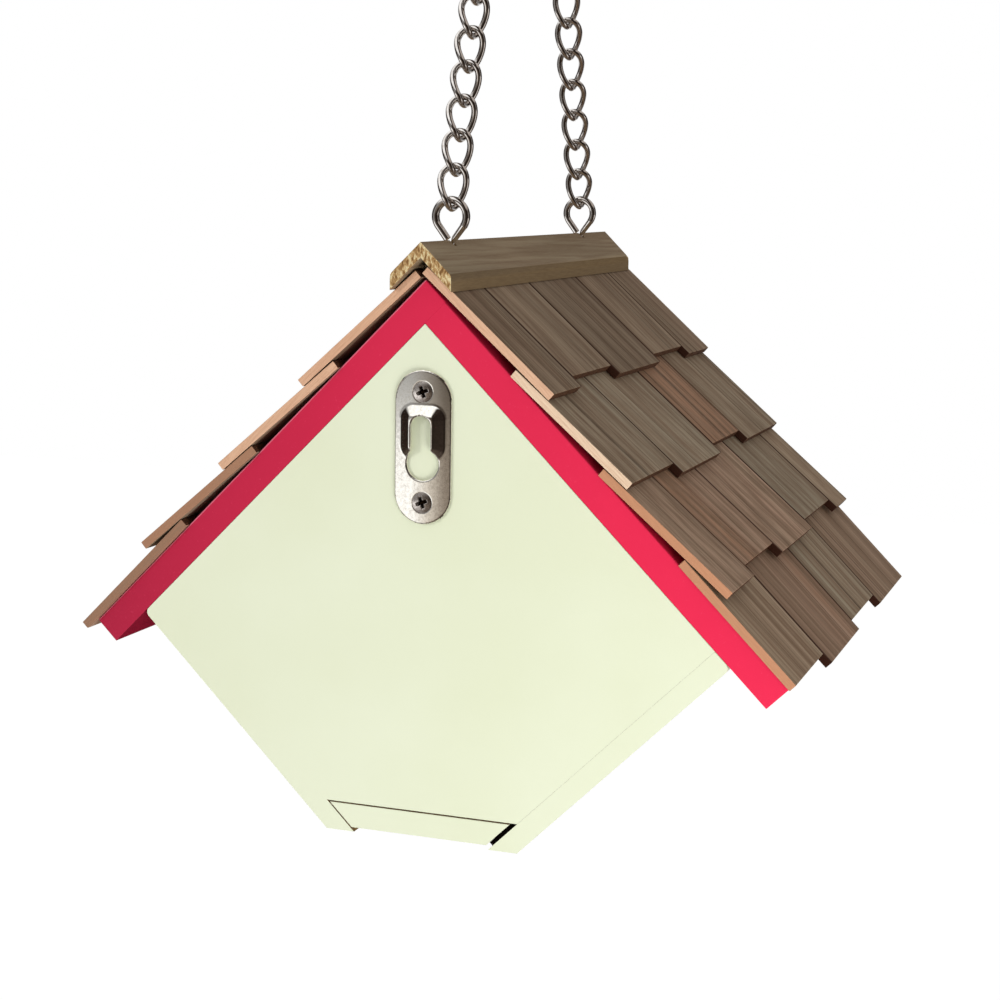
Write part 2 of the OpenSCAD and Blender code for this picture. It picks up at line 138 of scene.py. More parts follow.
def patternOf(tree, place, size, detail=2.0, stretch=(1, 1, 1), roughness=0.5, distortion=0.0):
    # An uneven pattern. size is its real size in the unit of place, millimetres
    scaled = addNode(tree, "ShaderNodeMapping", {"Vector": place, "Scale": [s / size for s in stretch]})
    return addNode(tree, "ShaderNodeTexNoise", {"Vector": scaled, "Scale": 1.0, "Detail": detail,
                                                "Roughness": roughness, "Distortion": distortion})


def meshFrom(bm, name):
    mesh = bpy.data.meshes.new(name)
    bm.to_mesh(mesh)
    bm.free()
    return mesh


def smoothed(mesh):
    # Smooth shading that breaks at edges sharper than this
    mesh.shade_smooth()
    mesh.set_sharp_from_angle(angle=math.radians(50))
    return mesh


def plainObject(name, mesh, material):
    mesh.materials.clear()
    mesh.materials.append(material)
    piece = bpy.data.objects.new(name, mesh)
    bpy.context.scene.collection.objects.link(piece)
    return piece


def evaluated(helper):
    # The finished mesh of a helper object, which is then removed
    bpy.context.scene.collection.objects.link(helper)
    bpy.context.view_layer.update()
    mesh = bpy.data.meshes.new_from_object(helper.evaluated_get(bpy.context.evaluated_depsgraph_get()))
    bpy.data.objects.remove(helper)
    return mesh


def finishPiece(piece, body, nodeName):
    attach(piece, body)
    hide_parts(nodeName)
    return piece


def sectionOf(place):
    # Distances down the left and the right slope from the apex, in millimetres
    drop = apexZ - place.z / mm
    return (drop + place.x / mm) / math.sqrt(2), (drop - place.x / mm) / math.sqrt(2)


def fromSection(a, b, y):
    return Vector(((a - b) / math.sqrt(2) * mm, y, (apexZ - (a + b) / math.sqrt(2)) * mm))


# Paint on pine. Thin satin acrylic: the fibres of the board show through as a faint relief. The pink colour
# is a painted highlight, the dark one painted shade, and two places in millimetres span painted shade on the
# red
paint = {"fibreSize": 0.5, "peelSize": 1.6, "cloudSize": 60, "speckSize": 0.9, "bareLineSize": 2.2,
         "relief": 0.02, "bare": "#8F7350", "bareLine": "#6B5234", "paintedHighlight": "#FF93AB", "dark": "#15100C",
         "paintedShadeFrom": -60, "paintedShadeTo": 137, "undersidePaintedShade": 0.55, "edgeHighlight": 0.6}


def satinPaint(name, base, shade, light, roughness, fibre, deep=None):
    material, tree = newMaterial(name)
    place = objectMm(tree)
    cloud = patternOf(tree, place, paint["cloudSize"], 3.0)
    clouded = addNode(tree, "ShaderNodeMapRange", {"Value": cloud, "From Min": 0.35, "From Max": 0.65})
    colour = addNode(tree, "ShaderNodeMix", {0: clouded, 6: shade, 7: base}, data_type="RGBA")
    if deep:
        # Painted shade: the red darkens toward the lower end of the left board, where less light falls
        leftward = addNode(tree, "ShaderNodeSeparateXYZ", {0: place}).outputs["X"]
        side = addNode(tree, "ShaderNodeMapRange", {"Value": leftward, "From Min": paint["paintedShadeFrom"],
                                                    "From Max": paint["paintedShadeTo"]})
        colour = addNode(tree, "ShaderNodeMix", {0: side, 6: colour, 7: deep}, data_type="RGBA")
    speck = patternOf(tree, place, paint["speckSize"], 4.0, roughness=0.7)
    specks = addNode(tree, "ShaderNodeMapRange", {"Value": speck, "From Min": 0.62, "From Max": 0.75,
                                                  "To Max": 0.3})
    colour = addNode(tree, "ShaderNodeMix", {0: specks, 6: colour, 7: light}, data_type="RGBA")
    # The cut attribute holds shares of bare wood, as inside the box, of painted highlight and of painted
    # shade
    cut = addNode(tree, "ShaderNodeAttribute", attribute_name="cut").outputs["Vector"]
    inside, paintedHighlight, paintedShade = addNode(tree, "ShaderNodeSeparateXYZ", {0: cut}).outputs
    lines = patternOf(tree, place, paint["bareLineSize"], 3.0, fibre, 0.6)
    lined = addNode(tree, "ShaderNodeMapRange", {"Value": lines, "From Min": 0.45, "From Max": 0.7})
    bare = addNode(tree, "ShaderNodeMix", {0: lined, 6: paint["bare"], 7: paint["bareLine"]},
                   data_type="RGBA")
    for share, layer in ((inside, bare), (paintedHighlight, paint["paintedHighlight"]), (paintedShade, paint["dark"])):
        colour = addNode(tree, "ShaderNodeMix", {0: share, 6: colour, 7: layer}, data_type="RGBA")
    peel = patternOf(tree, place, paint["peelSize"], 2.0)
    fibres = patternOf(tree, place, paint["fibreSize"], 3.0, fibre, 0.6)
    height = addNode(tree, "ShaderNodeMath", {0: peel, 1: 0.6, 2: fibres}, operation="MULTIPLY_ADD")
    gloss = addNode(tree, "ShaderNodeMapRange", {"Value": cloud, "From Min": 0.3, "From Max": 0.7,
                                                 "To Min": roughness - 0.05, "To Max": roughness + 0.06})
    gloss = addNode(tree, "ShaderNodeMath", {0: inside, 1: 0.3, 2: gloss}, operation="MULTIPLY_ADD")
    shine = addNode(tree, "ShaderNodeMapRange", {"Value": paintedShade, "From Max": 0.5,
                                                 "To Min": 0.3, "To Max": 0.0})
    finishMaterial(tree, {"IOR": 1.4, "Base Color": colour, "Roughness": gloss, "Specular IOR Level": shine},
                   height, paint["relief"])
    return material


creamPaint = satinPaint("creamPaintedPine", "#F3F8DC", "#EFF4D5", "#F6FAE4", 0.45, (1, 1, 0.05))
# The red's last colour is painted shade toward the lower end of the left board
redPaint = satinPaint("redPaintedPine", "#FC3059", "#F42B54", "#FF5A7C", 0.5, (1, 0.06, 1), "#AC1E3F")


# Bare wood. The grain attribute holds millimetres: x across the grain, y along it, z into the board.
# The board attribute holds each board's warmth, the strength of its rings and the tone of its sides. The
# rim attribute holds the ways to the board's two edges and how dark its seams are
grainSize = {"wander": 30, "streak": 1.1, "fibre": 0.35, "blotch": 14}


def bareWood(name, wood):
    material, tree = newMaterial(name)
    marks = {mark: addNode(tree, "ShaderNodeAttribute", attribute_name=mark).outputs["Vector"]
             for mark in ("grain", "board", "cut", "rim", "shade")}
    grain = marks["grain"]
    across = addNode(tree, "ShaderNodeSeparateXYZ", {0: grain}).outputs["X"]
    warmth, strength, sideTone = addNode(tree, "ShaderNodeSeparateXYZ", {0: marks["board"]}).outputs
    side, end, inner = addNode(tree, "ShaderNodeSeparateXYZ", {0: marks["cut"]}).outputs
    first, second, seamShare = addNode(tree, "ShaderNodeSeparateXYZ", {0: marks["rim"]}).outputs
    # Growth rings wander along the board. Each ends in a thin dark line of late wood, and the lines
    # differ in strength from ring to ring and from board to board
    wander = patternOf(tree, grain, grainSize["wander"], 2.0, (1, 0.05, 0.3))
    across = addNode(tree, "ShaderNodeMath", {0: wander, 1: wood["wander"], 2: across},
                     operation="MULTIPLY_ADD")
    count = addNode(tree, "ShaderNodeMath", {0: across, 1: wood["ring"]}, operation="DIVIDE")
    uneven = addNode(tree, "ShaderNodeTexNoise", {"W": count, "Scale": 0.45, "Detail": 2.0},
                     noise_dimensions="1D")
    count = addNode(tree, "ShaderNodeMath", {0: uneven, 1: 3.0, 2: count}, operation="MULTIPLY_ADD")
    through = addNode(tree, "ShaderNodeMath", {0: count}, operation="FRACT")
    late = addNode(tree, "ShaderNodeMapRange", {"Value": through, "From Min": 0.35},
                   interpolation_type="SMOOTHSTEP")
    number = addNode(tree, "ShaderNodeMath", {0: count}, operation="FLOOR")
    each = addNode(tree, "ShaderNodeTexWhiteNoise", {"W": number}, noise_dimensions="1D")
    for share in (each, each, strength):
        late = addNode(tree, "ShaderNodeMath", {0: late, 1: share}, operation="MULTIPLY")
    streaks = patternOf(tree, grain, grainSize["streak"], 2.0, (1, 0.012, 1), 0.5)
    broad = patternOf(tree, grain, wood["broad"], 2.0, (1, 0.02, 1), 0.5)
    fibres = patternOf(tree, grain, grainSize["fibre"], 3.0, (1, 0.05, 1), 0.65)
    blotch = patternOf(tree, grain, grainSize["blotch"], 3.0, (1, 0.12, 1), 0.55)
    warm = addNode(tree, "ShaderNodeMath", {0: blotch, 1: 0.5}, operation="MULTIPLY")
    warm = addNode(tree, "ShaderNodeMath", {0: warmth, 1: 0.75, 2: warm}, operation="MULTIPLY_ADD")
    tones = [(0.3, wood["cool"]), (0.55, wood["middle"]), (0.85, wood["warm"]), (0.97, wood["red"])]
    face = addNode(tree, "ShaderNodeValToRGB", {"Fac": warm}, stops=tones)
    # What lies over the plain wood: where each pattern starts and is full, its share and its colour
    for pattern, low, high, most, layer in ((broad, 0.4, 0.62, wood["broadShare"], wood["streak"]),
                                            (streaks, 0.45, 0.68, 0.6, wood["streak"]),
                                            (late, 0.0, 1.0, wood["lateShare"], wood["late"]),
                                            (fibres, 0.5, 0.78, 0.3, wood["bright"])):
        share = addNode(tree, "ShaderNodeMapRange", {"Value": pattern, "From Min": low, "From Max": high,
                                                     "To Max": most})
        face = addNode(tree, "ShaderNodeMix", {0: share, 6: face, 7: layer}, data_type="RGBA")
    # The seams between neighbouring boards are dark and a little ragged
    edge = addNode(tree, "ShaderNodeMath", {0: first, 1: second}, operation="MINIMUM")
    ragged = addNode(tree, "ShaderNodeMapRange", {"Value": streaks, "From Min": 0.3, "From Max": 0.7,
                                                  "To Min": -0.12, "To Max": 0.12})
    edge = addNode(tree, "ShaderNodeMath", {0: edge, 1: ragged}, operation="ADD")
    seam = addNode(tree, "ShaderNodeMapRange", {"Value": edge, "From Min": 0.1, "From Max": 0.85,
                                                "To Min": 1.0, "To Max": 0.0},
                   interpolation_type="SMOOTHSTEP")
    seam = addNode(tree, "ShaderNodeMath", {0: seam, 1: seamShare}, operation="MULTIPLY")
    # Sawn sides have a tone of their own, end grain is rough and porous, hidden sides are dark
    pale = addNode(tree, "ShaderNodeValToRGB", {"Fac": sideTone},
                   stops=list(zip((0.0, 0.35, 0.7, 1.0), wood["sides"])))
    sawn = addNode(tree, "ShaderNodeMapRange", {"Value": fibres, "From Min": 0.35, "From Max": 0.7,
                                                "To Max": 0.4})
    pale = addNode(tree, "ShaderNodeMix", {0: sawn, 6: pale, 7: wood["sideMark"]}, data_type="RGBA")
    pores = patternOf(tree, grain, wood["poreSize"], 3.0, wood["poreStretch"], 0.6, 0.6)
    ends = addNode(tree, "ShaderNodeValToRGB", {"Fac": pores},
                   stops=list(zip((0.36, 0.5, 0.62), wood["ends"])))
    for share, layer in ((marks["shade"], wood["late"]), (seam, wood["seam"]), (side, pale), (end, ends),
                         (inner, wood["seam"])):
        face = addNode(tree, "ShaderNodeMix", {0: share, 6: face, 7: layer}, data_type="RGBA")
    # Fibres stand out, late wood and streaks lie lower, and end grain is coarse
    coarse = addNode(tree, "ShaderNodeMath", {0: end, 1: 1.5}, operation="MULTIPLY")
    height = addNode(tree, "ShaderNodeMath", {0: pores, 1: coarse}, operation="MULTIPLY")
    for pattern, share in ((fibres, 0.4), (late, -0.8), (streaks, -0.4)):
        height = addNode(tree, "ShaderNodeMath", {0: pattern, 1: share, 2: height}, operation="MULTIPLY_ADD")
    finishMaterial(tree, {"IOR": 1.4, "Roughness": 0.82, "Specular IOR Level": 0.3, "Base Color": face},
                   height, wood["relief"])
    return material


# Split cedar, grey-green and reddish boards mixed, with a sawn relief. The ends' browns are end grain
# darkened past its own tone by painted shade, for the butts that face down the slope
cedar = {"ring": 3.0, "wander": 9.0, "broad": 4.2, "broadShare": 0.65,
         "cool": "#AA9A82", "middle": "#B69D82", "warm": "#BF9B82", "red": "#B18669",
         "streak": "#7E624A", "late": "#42301F", "lateShare": 0.9, "bright": "#C8B69B",
         "sides": ("#9C7A64", "#D29874", "#EFC3A2", "#FADDBE"), "sideMark": "#B8805F",
         "ends": ("#40281A", "#573A28", "#6B4B36"), "seam": "#3A2015", "poreSize": 0.6,
         "poreStretch": (1, 1, 1), "relief": 0.2}
# Planed pine moulding with a wide coarse end grain
pine = {"ring": 5.0, "wander": 20.0, "broad": 3.2, "broadShare": 0.55,
        "cool": "#95876A", "middle": "#9E8B70", "warm": "#A4886B", "red": "#A4886B",
        "streak": "#7F664C", "late": "#644D35", "lateShare": 0.6, "bright": "#AC9C82",
        "sides": ("#7D6749", "#816B4C", "#866F50", "#8A7354"), "sideMark": "#5C4630",
        "ends": ("#7F5B35", "#BF9865", "#E9D7A8"), "seam": "#3A2A20", "poreSize": 0.9,
        "poreStretch": (1, 0.1, 0.45), "relief": 0.05}
cedarWood = bareWood("sawnCedar", cedar)
ridgeWood = bareWood("planedPine", pine)


# Bright metals: thin plating with small dull marks
def bareMetal(name, colour, spots, roughness, spotSize, relief, spread=0.14, share=0.8, recess=None):
    material, tree = newMaterial(name)
    marks = patternOf(tree, objectMm(tree), spotSize, 4.0, roughness=0.7)
    dull = addNode(tree, "ShaderNodeMapRange", {"Value": marks, "From Min": 0.42, "From Max": 0.66,
                                                "To Max": share})
    tint = addNode(tree, "ShaderNodeMix", {0: dull, 6: colour, 7: spots}, data_type="RGBA")
    # Painted shade: the screws' cross recess takes a dark colour where shade falls in it
    if recess:
        deep = addNode(tree, "ShaderNodeAttribute", attribute_name="recess").outputs["Vector"]
        tint = addNode(tree, "ShaderNodeMix", {0: deep, 6: tint, 7: recess}, data_type="RGBA")
    gloss = addNode(tree, "ShaderNodeMapRange", {"Value": marks, "From Min": 0.35, "From Max": 0.7,
                                                 "To Min": roughness, "To Max": roughness + spread})
    finishMaterial(tree, {"Metallic": 1.0, "Base Color": tint, "Roughness": gloss}, marks, relief)
    return material


wireSteel = bareMetal("platedSteelWire", "#DEDAD6", "#BDB4AD", 0.03, 1.5, 0.002, 0.06)
nickelPlate = bareMetal("nickelPlatedSteel", "#F5F2EA", "#BDB4A8", 0.08, 1.0, 0.002, 0.07, 0.4)
# The screws' last colour is painted shade for their cross recess
screwSteel = bareMetal("platedScrewSteel", "#E0D8D2", "#9A8E84", 0.2, 0.6, 0.006, recess="#1A120C")
bradSteel = bareMetal("drawnSteel", "#8F8C88", "#6E6A66", 0.4, 1.0, 0.01)
print("materials made")


# Boards: copies of the CAD boards with eased edges. Faces over flat square millimetres stay flat, edges
# under shortest aren't eased, and near is the slack when edges are told apart. follows is the cosine
# within which an eased face takes a flat neighbour's normal
eased = {"roofOuter": 0.5, "roofInner": 0.12, "panel": 0.1, "floor": 0.25, "shingle": 0.22, "ridge": 2.2,
         "widest": 2.2, "segments": 3, "flat": 8.0, "shortest": 1.0, "sharp": 30, "near": 0.02,
         "follows": 0.7, "merge": 0.001}


def settleNormals(mesh):
    # Wide faces stay flat right up to their eased edges, which carry the whole turn
    wide = [f.material_index == 0 and f.area > eased["flat"] * mm * mm for f in mesh.polygons]
    beside = {}
    for face in mesh.polygons:
        if wide[face.index]:
            for vertex in face.vertices:
                beside.setdefault(vertex, []).append(face.normal.copy())
    normals = [corner.vector.copy() for corner in mesh.corner_normals]
    for face in mesh.polygons:
        for loop in face.loop_indices:
            if wide[face.index]:
                normals[loop] = face.normal.copy()
                continue
            for normal in beside.get(mesh.loops[loop].vertex_index, []):
                if normal.dot(face.normal) > eased["follows"]:
                    normals[loop] = normal
    mesh.normals_split_custom_set([tuple(normal) for normal in normals])
    for face in mesh.polygons:
        face.material_index = 0


def easedMesh(nodeName, easing, shift=None):
    # easing gives the width for an edge from its two ends in the section, in millimetres
    bm = bmesh.new()
    bm.from_mesh(nodes[nodeName].data)
    bmesh.ops.remove_doubles(bm, verts=bm.verts, dist=eased["merge"] * mm)
    bmesh.ops.dissolve_limit(bm, angle_limit=math.radians(1), verts=bm.verts, edges=bm.edges)
    if shift:
        for vert in bm.verts:
            vert.co = fromSection(*shift(*sectionOf(vert.co)), vert.co.y)
    weights = bm.edges.layers.float.new("bevel_weight_edge")
    for edge in bm.edges:
        if not edge.is_manifold or edge.calc_length() < eased["shortest"] * mm:
            continue
        if edge.calc_face_angle(0) > math.radians(eased["sharp"]):
            width = easing(*[sectionOf(v.co) for v in edge.verts]) if callable(easing) else easing
            edge[weights] = width / eased["widest"]
    mesh = meshFrom(bm, nodeName)
    # The second material slot marks the eased edges until the normals are set
    for part in range(2):
        mesh.materials.append(None)
    helper = bpy.data.objects.new(nodeName + "Helper", mesh)
    bevel = helper.modifiers.new("easing", "BEVEL")
    bevel.limit_method = "WEIGHT"
    bevel.width = eased["widest"] * mm
    bevel.segments = eased["segments"]
    bevel.use_clamp_overlap = False
    bevel.material = 1
    done = smoothed(evaluated(helper))
    settleNormals(done)
    return done


def addAttribute(mesh, name, domain, values):
    attribute = mesh.attributes.new(name, "FLOAT_VECTOR", domain)
    attribute.data.foreach_set("vector", [number for value in values for number in value])


def addShare(mesh, name, values):
    attribute = mesh.attributes.new(name, "FLOAT", "POINT")
    attribute.data.foreach_set("value", values)


def islandsOf(mesh):
    bm = bmesh.new()
    bm.from_mesh(mesh)
    seen = set()
    islands = []
    for start in bm.verts:
        if start.index in seen:
            continue
        found = []
        todo = [start]
        seen.add(start.index)
        while todo:
            vert = todo.pop()
            found.append(vert.index)
            for edge in vert.link_edges:
                other = edge.other_vert(vert)
                if other.index not in seen:
                    seen.add(other.index)
                    todo.append(other)
        islands.append(found)
    bm.free()
    return islands


# How far single boards differ from the rest of their course. Lengths are in millimetres
variety = {"grain": 500, "slant": 0.04, "warmth": 0.5, "rings": (0.4, 1.0), "shade": (-0.12, 0.14),
           "seamEdges": (-0.35, 0.0, 0.2), "noSeam": 9.0, "seams": (0.75, 1.0), "courseEnd": 1.0, "butt": 1.5}


def grainAttributes(mesh, across, along, seed, warmth, sideTone, shade, jitter=0.0):
    # Each board gets its own stretch of grain, its own tone and a butt that ends a little short
    dice = random.Random(seed)
    into = across.cross(along)
    grain = [None] * len(mesh.vertices)
    board = [None] * len(mesh.vertices)
    rims = [None] * len(mesh.vertices)
    reach = [v.co.dot(across) / mm for v in mesh.vertices]
    ends = (min(reach), max(reach))
    shades = [0.0] * len(mesh.vertices)
    for island in islandsOf(mesh):
        shift = Vector([dice.uniform(-variety["grain"], variety["grain"]) for axis in range(3)])
        slant = dice.uniform(-variety["slant"], variety["slant"])
        tone = warmth + dice.uniform(-variety["warmth"], variety["warmth"])
        tones = (tone, dice.uniform(*variety["rings"]), sideTone)
        dark = shade + dice.uniform(*variety["shade"])
        sides = (min(reach[i] for i in island), max(reach[i] for i in island))
        # The course's two outer edges have no neighbour, so no seam
        margin = [variety["noSeam"] if abs(sides[k] - ends[k]) < variety["courseEnd"]
                  else dice.choice(variety["seamEdges"]) for k in (0, 1)]
        seamShare = dice.uniform(*variety["seams"])
        short = dice.uniform(0, jitter) * mm
        last = max(mesh.vertices[i].co.dot(along) for i in island)
        for i in island:
            place = mesh.vertices[i].co / mm
            run = place.dot(along)
            grain[i] = Vector((place.dot(across) + slant * run, run, place.dot(into))) + shift
            board[i] = tones
            rims[i] = (reach[i] - sides[0] + margin[0], sides[1] - reach[i] + margin[1], seamShare)
            shades[i] = max(dark, 0.0)
            if last - run * mm < variety["butt"] * mm:
                mesh.vertices[i].co -= along * short
    addAttribute(mesh, "grain", "POINT", grain)
    addAttribute(mesh, "board", "POINT", board)
    addAttribute(mesh, "rim", "POINT", rims)
    addShare(mesh, "shade", shades)


# The cosines past which a face counts as cut, and how near to a course's end it lies, in millimetres
cutTurn = {"end": 0.75, "outerSide": 0.35, "capSide": 0.9, "hiddenSide": 0.75, "courseEnd": 0.6}


def cutAttribute(mesh, across, along, onlyOuter):
    # Shares of sawn side, end grain and hidden side on each face
    reach = [f.center.dot(across) for f in mesh.polygons]
    first, last = min(reach), max(reach)
    sideTurn = cutTurn["outerSide"] if onlyOuter else cutTurn["capSide"]
    cuts = []
    for face, place in zip(mesh.polygons, reach):
        outer = not onlyOuter or min(place - first, last - place) < cutTurn["courseEnd"] * mm
        turned = abs(face.normal.dot(across))
        if abs(face.normal.dot(along)) > cutTurn["end"]:
            cuts.append((0, 1, 0))
        elif outer and turned > sideTurn:
            cuts.append((1, 0, 0))
        elif not outer and turned > cutTurn["hiddenSide"]:
            cuts.append((0, 0, 1))
        else:
            cuts.append((0, 0, 0))
    addAttribute(mesh, "cut", "FACE", cuts)


def paintedPiece(nodeName, easing, material, inward, shift=None, body="house", finish=None):
    mesh = easedMesh(nodeName, easing, shift)
    bare = [(1.0 if inward and face.normal.dot(inward) > 0.9 else 0.0, 0, 0) for face in mesh.polygons]
    addAttribute(mesh, "cut", "FACE", bare)
    if finish:
        mesh = finish(mesh)
    piece = plainObject("painted." + nodeName, mesh, material)
    return finishPiece(piece, body, nodeName)


def woodPiece(nodeName, easing, across, along, seed, warmth, sideTone, shade, material, jitter=0.0):
    mesh = easedMesh(nodeName, easing)
    grainAttributes(mesh, across, along, seed, warmth, sideTone, shade, jitter)
    cutAttribute(mesh, across, along, nodeName != "ridge_cap")
    piece = plainObject("bare." + nodeName, mesh, material)
    return finishPiece(piece, "house", nodeName)


def limitsOf(nodeName):
    places = [sectionOf(v.co) for v in nodes[nodeName].data.vertices]
    return [min(p[0] for p in places), max(p[0] for p in places),
            min(p[1] for p in places), max(p[1] for p in places)]


def near(value, *others):
    return all(abs(value - other) < eased["near"] for other in others)


# The left roof board covers the end of the right one, and the joint at the back is filled with paint
boardLimits = limitsOf("roof_board_left")
innerEdge = boardLimits[3]
rightStart = limitsOf("roof_board_right")[2]


def easeLeftBoard(start, stop):
    return eased["roofInner"] if near(innerEdge, start[1], stop[1]) else eased["roofOuter"]


def easeRightBoard(start, stop):
    if near(innerEdge, start[1], stop[1]):
        return 0.0
    return eased["roofInner"] if near(innerEdge, start[0], stop[0]) else eased["roofOuter"]


def closeRightBoard(a, b):
    return a, innerEdge if near(b, rightStart) else b


def paintShadeAndHighlight(mesh):
    # Painted shade darkens the undersides, and a pink painted highlight lies along the left board's outer
    # edge at the back
    leftward = Vector((1, 0, 1)).normalized()
    cuts = mesh.attributes["cut"].data
    for face in mesh.polygons:
        if face.normal.z < -0.6 and abs(face.normal.y) < 0.1:
            cuts[face.index].vector = (0, 0, paint["undersidePaintedShade"])
        elif face.normal.y > 0.2 and face.normal.dot(leftward) > 0.2:
            cuts[face.index].vector = (0, paint["edgeHighlight"], 0)
    return mesh


paintedPiece("roof_board_left", easeLeftBoard, redPaint, None, finish=paintShadeAndHighlight)
paintedPiece("roof_board_right", easeRightBoard, redPaint, None, closeRightBoard,
             finish=paintShadeAndHighlight)

# The panels meet the walls: the left joint is filled, the right one stays a hairline
panelLimits = limitsOf("back_panel")
wallStart = limitsOf("wall_left")[0]
hairline = 0.04


def easeHouse(start, stop):
    joint = any(near(edge, start[k], stop[k]) for k in (0, 1) for edge in (wallStart, wallStart - hairline))
    return 0.0 if joint else eased["panel"]


def closePanel(a, b):
    return (wallStart if near(a, panelLimits[1]) else a,
            wallStart - hairline if near(b, panelLimits[3]) else b)


towardRight = Vector((-1, 0, 1)).normalized()
towardLeft = Vector((1, 0, 1)).normalized()
paintedPiece("back_panel", easeHouse, creamPaint, Vector((0, -1, 0)), closePanel)
paintedPiece("front_panel", easeHouse, creamPaint, Vector((0, 1, 0)), closePanel)
paintedPiece("wall_left", easeHouse, creamPaint, towardRight)

# The slot at the floor's right end looks black, so the right wall carries a strip of painted shade in it,
# set a little in from the back
slot = {"floorSide": 134.14, "wallSide": 135.6, "high": 94.2, "low": 103.4, "backY": 82.0, "frontY": -60.0}


def addSlotShadeStrip(mesh):
    bm = bmesh.new()
    bm.from_mesh(mesh)
    layer = bm.faces.layers.float_vector["cut"]
    corners = [(slot["high"], slot["floorSide"]), (slot["low"], slot["floorSide"]),
               (slot["low"], slot["wallSide"]), (slot["high"], slot["wallSide"])]
    back = [bm.verts.new(fromSection(a, b, slot["backY"] * mm)) for a, b in corners]
    front = [bm.verts.new(fromSection(a, b, slot["frontY"] * mm)) for a, b in corners]
    made = [bm.faces.new(back), bm.faces.new(list(reversed(front)))]
    for i in range(4):
        j = (i + 1) % 4
        made.append(bm.faces.new([back[j], back[i], front[i], front[j]]))
    bmesh.ops.recalc_face_normals(bm, faces=made)
    # Every face of the strip takes the full painted shade
    for face in made:
        face[layer] = (0, 0, 1)
    bm.to_mesh(mesh)
    bm.free()
    return mesh


paintedPiece("wall_right", easeHouse, creamPaint, towardLeft, finish=addSlotShadeStrip)
paintedPiece("floor_board", eased["floor"], creamPaint, Vector((0, 0, 1)), None, "floor")

# Shingle courses, from the ridge down. The right slope's seeds give its warm and cool boards the order that
# the photo shows, and the sides' tones follow the photo too. The left slope's faces are a guess
courses = {"shade": (0.3, 0.06, 0.04, 0.02), "jitter": 0.6,
           "left": {"seeds": (11, 21, 31, 41), "warmth": (0.3, 0.6, 0.4, 0.7),
                    "sides": (0.62, 0.66, 0.1, 0.0)},
           "right": {"seeds": (1, 17457, 6141, 10638), "warmth": (0.45, 0.5, 0.45, 0.4),
                     "sides": (0.7, 1.0, 0.35, 0.33)}}
depth = Vector((0, 1, 0))
for sideName, sign in (("left", 1), ("right", -1)):
    slope = Vector((sign * math.sqrt(0.5), 0, -math.sqrt(0.5)))
    own = courses[sideName]
    for i, shade in enumerate(courses["shade"]):
        woodPiece(f"shingles_{sideName}_{i + 1}", eased["shingle"], depth, slope, own["seeds"][i],
                  own["warmth"][i], own["sides"][i], shade, cedarWood, courses["jitter"])

# The V-grooved cap. outside and down find its edges by their ways from the apex along the two slopes
cap = {"seed": 7, "warmth": 0.4, "sides": 0.3, "shade": 0.0, "outside": -7, "down": 5}


def easeCap(start, stop):
    # The two lengthwise edges above the side faces are rounded most
    if not near(start[0], stop[0]) or not near(start[1], stop[1]):
        return eased["shingle"]
    outer = min(start) < cap["outside"] and max(start) > cap["down"]
    return eased["ridge"] if outer else eased["shingle"]


woodPiece("ridge_cap", easeCap, Vector((1, 0, 0)), depth, cap["seed"], cap["warmth"], cap["sides"],
          cap["shade"], ridgeWood)
print("boards made")


# Bent wire: a smooth round wire along a path, with flat ends. An eye's shank is threaded, so its core is
# slimmer than the wire. bend is how far the turn from shank to loop reaches, in wire thicknesses
wire = {"sides": 5, "hook": 3.0, "eye": 2.4, "hookTop": 10.0, "hookLow": 7.0, "hookArc": 300, "steps": 96,
        "eyeLoop": 4.9, "eyeSlope": 53, "eyeOpen": 1.748, "eyeShankSide": 0.5, "bend": 0.6, "bendSteps": 8,
        "threadPoints": 11, "threadCore": 0.5, "threadTaper": 6}


def wireMesh(path, wide, thin=0):
    # thin counts the points of a threaded shank at the start of the path
    curve = bpy.data.curves.new("wirePath", "CURVE")
    curve.dimensions = "3D"
    curve.bevel_depth = wide / 2 * mm
    curve.bevel_resolution = wire["sides"]
    curve.use_fill_caps = True
    line = curve.splines.new("POLY")
    line.points.add(len(path) - 1)
    for point, place in zip(line.points, path):
        point.co = (*[c * mm for c in place], 1)
    for i in range(thin):
        line.points[i].radius = 1.0 - (1.0 - wire["threadCore"]) * min((thin - i) / wire["threadTaper"], 1.0)
    line.use_smooth = True
    return smoothed(evaluated(bpy.data.objects.new("wireHelper", curve)))


def hookPath():
    top, low = wire["hookTop"], wire["hookLow"]
    topMiddle = wire["hook"] / 2 - top
    lowMiddle = topMiddle - top - low
    turns = [math.radians(270 - wire["hookArc"] * (1 - i / wire["steps"])) for i in range(wire["steps"] + 1)]
    path = [(0, top * math.cos(t), topMiddle + top * math.sin(t)) for t in turns]
    turns = [math.radians(90 - wire["hookArc"] * i / wire["steps"]) for i in range(1, wire["steps"] + 1)]
    return path + [(0, low * math.cos(t), lowMiddle + low * math.sin(t)) for t in turns]


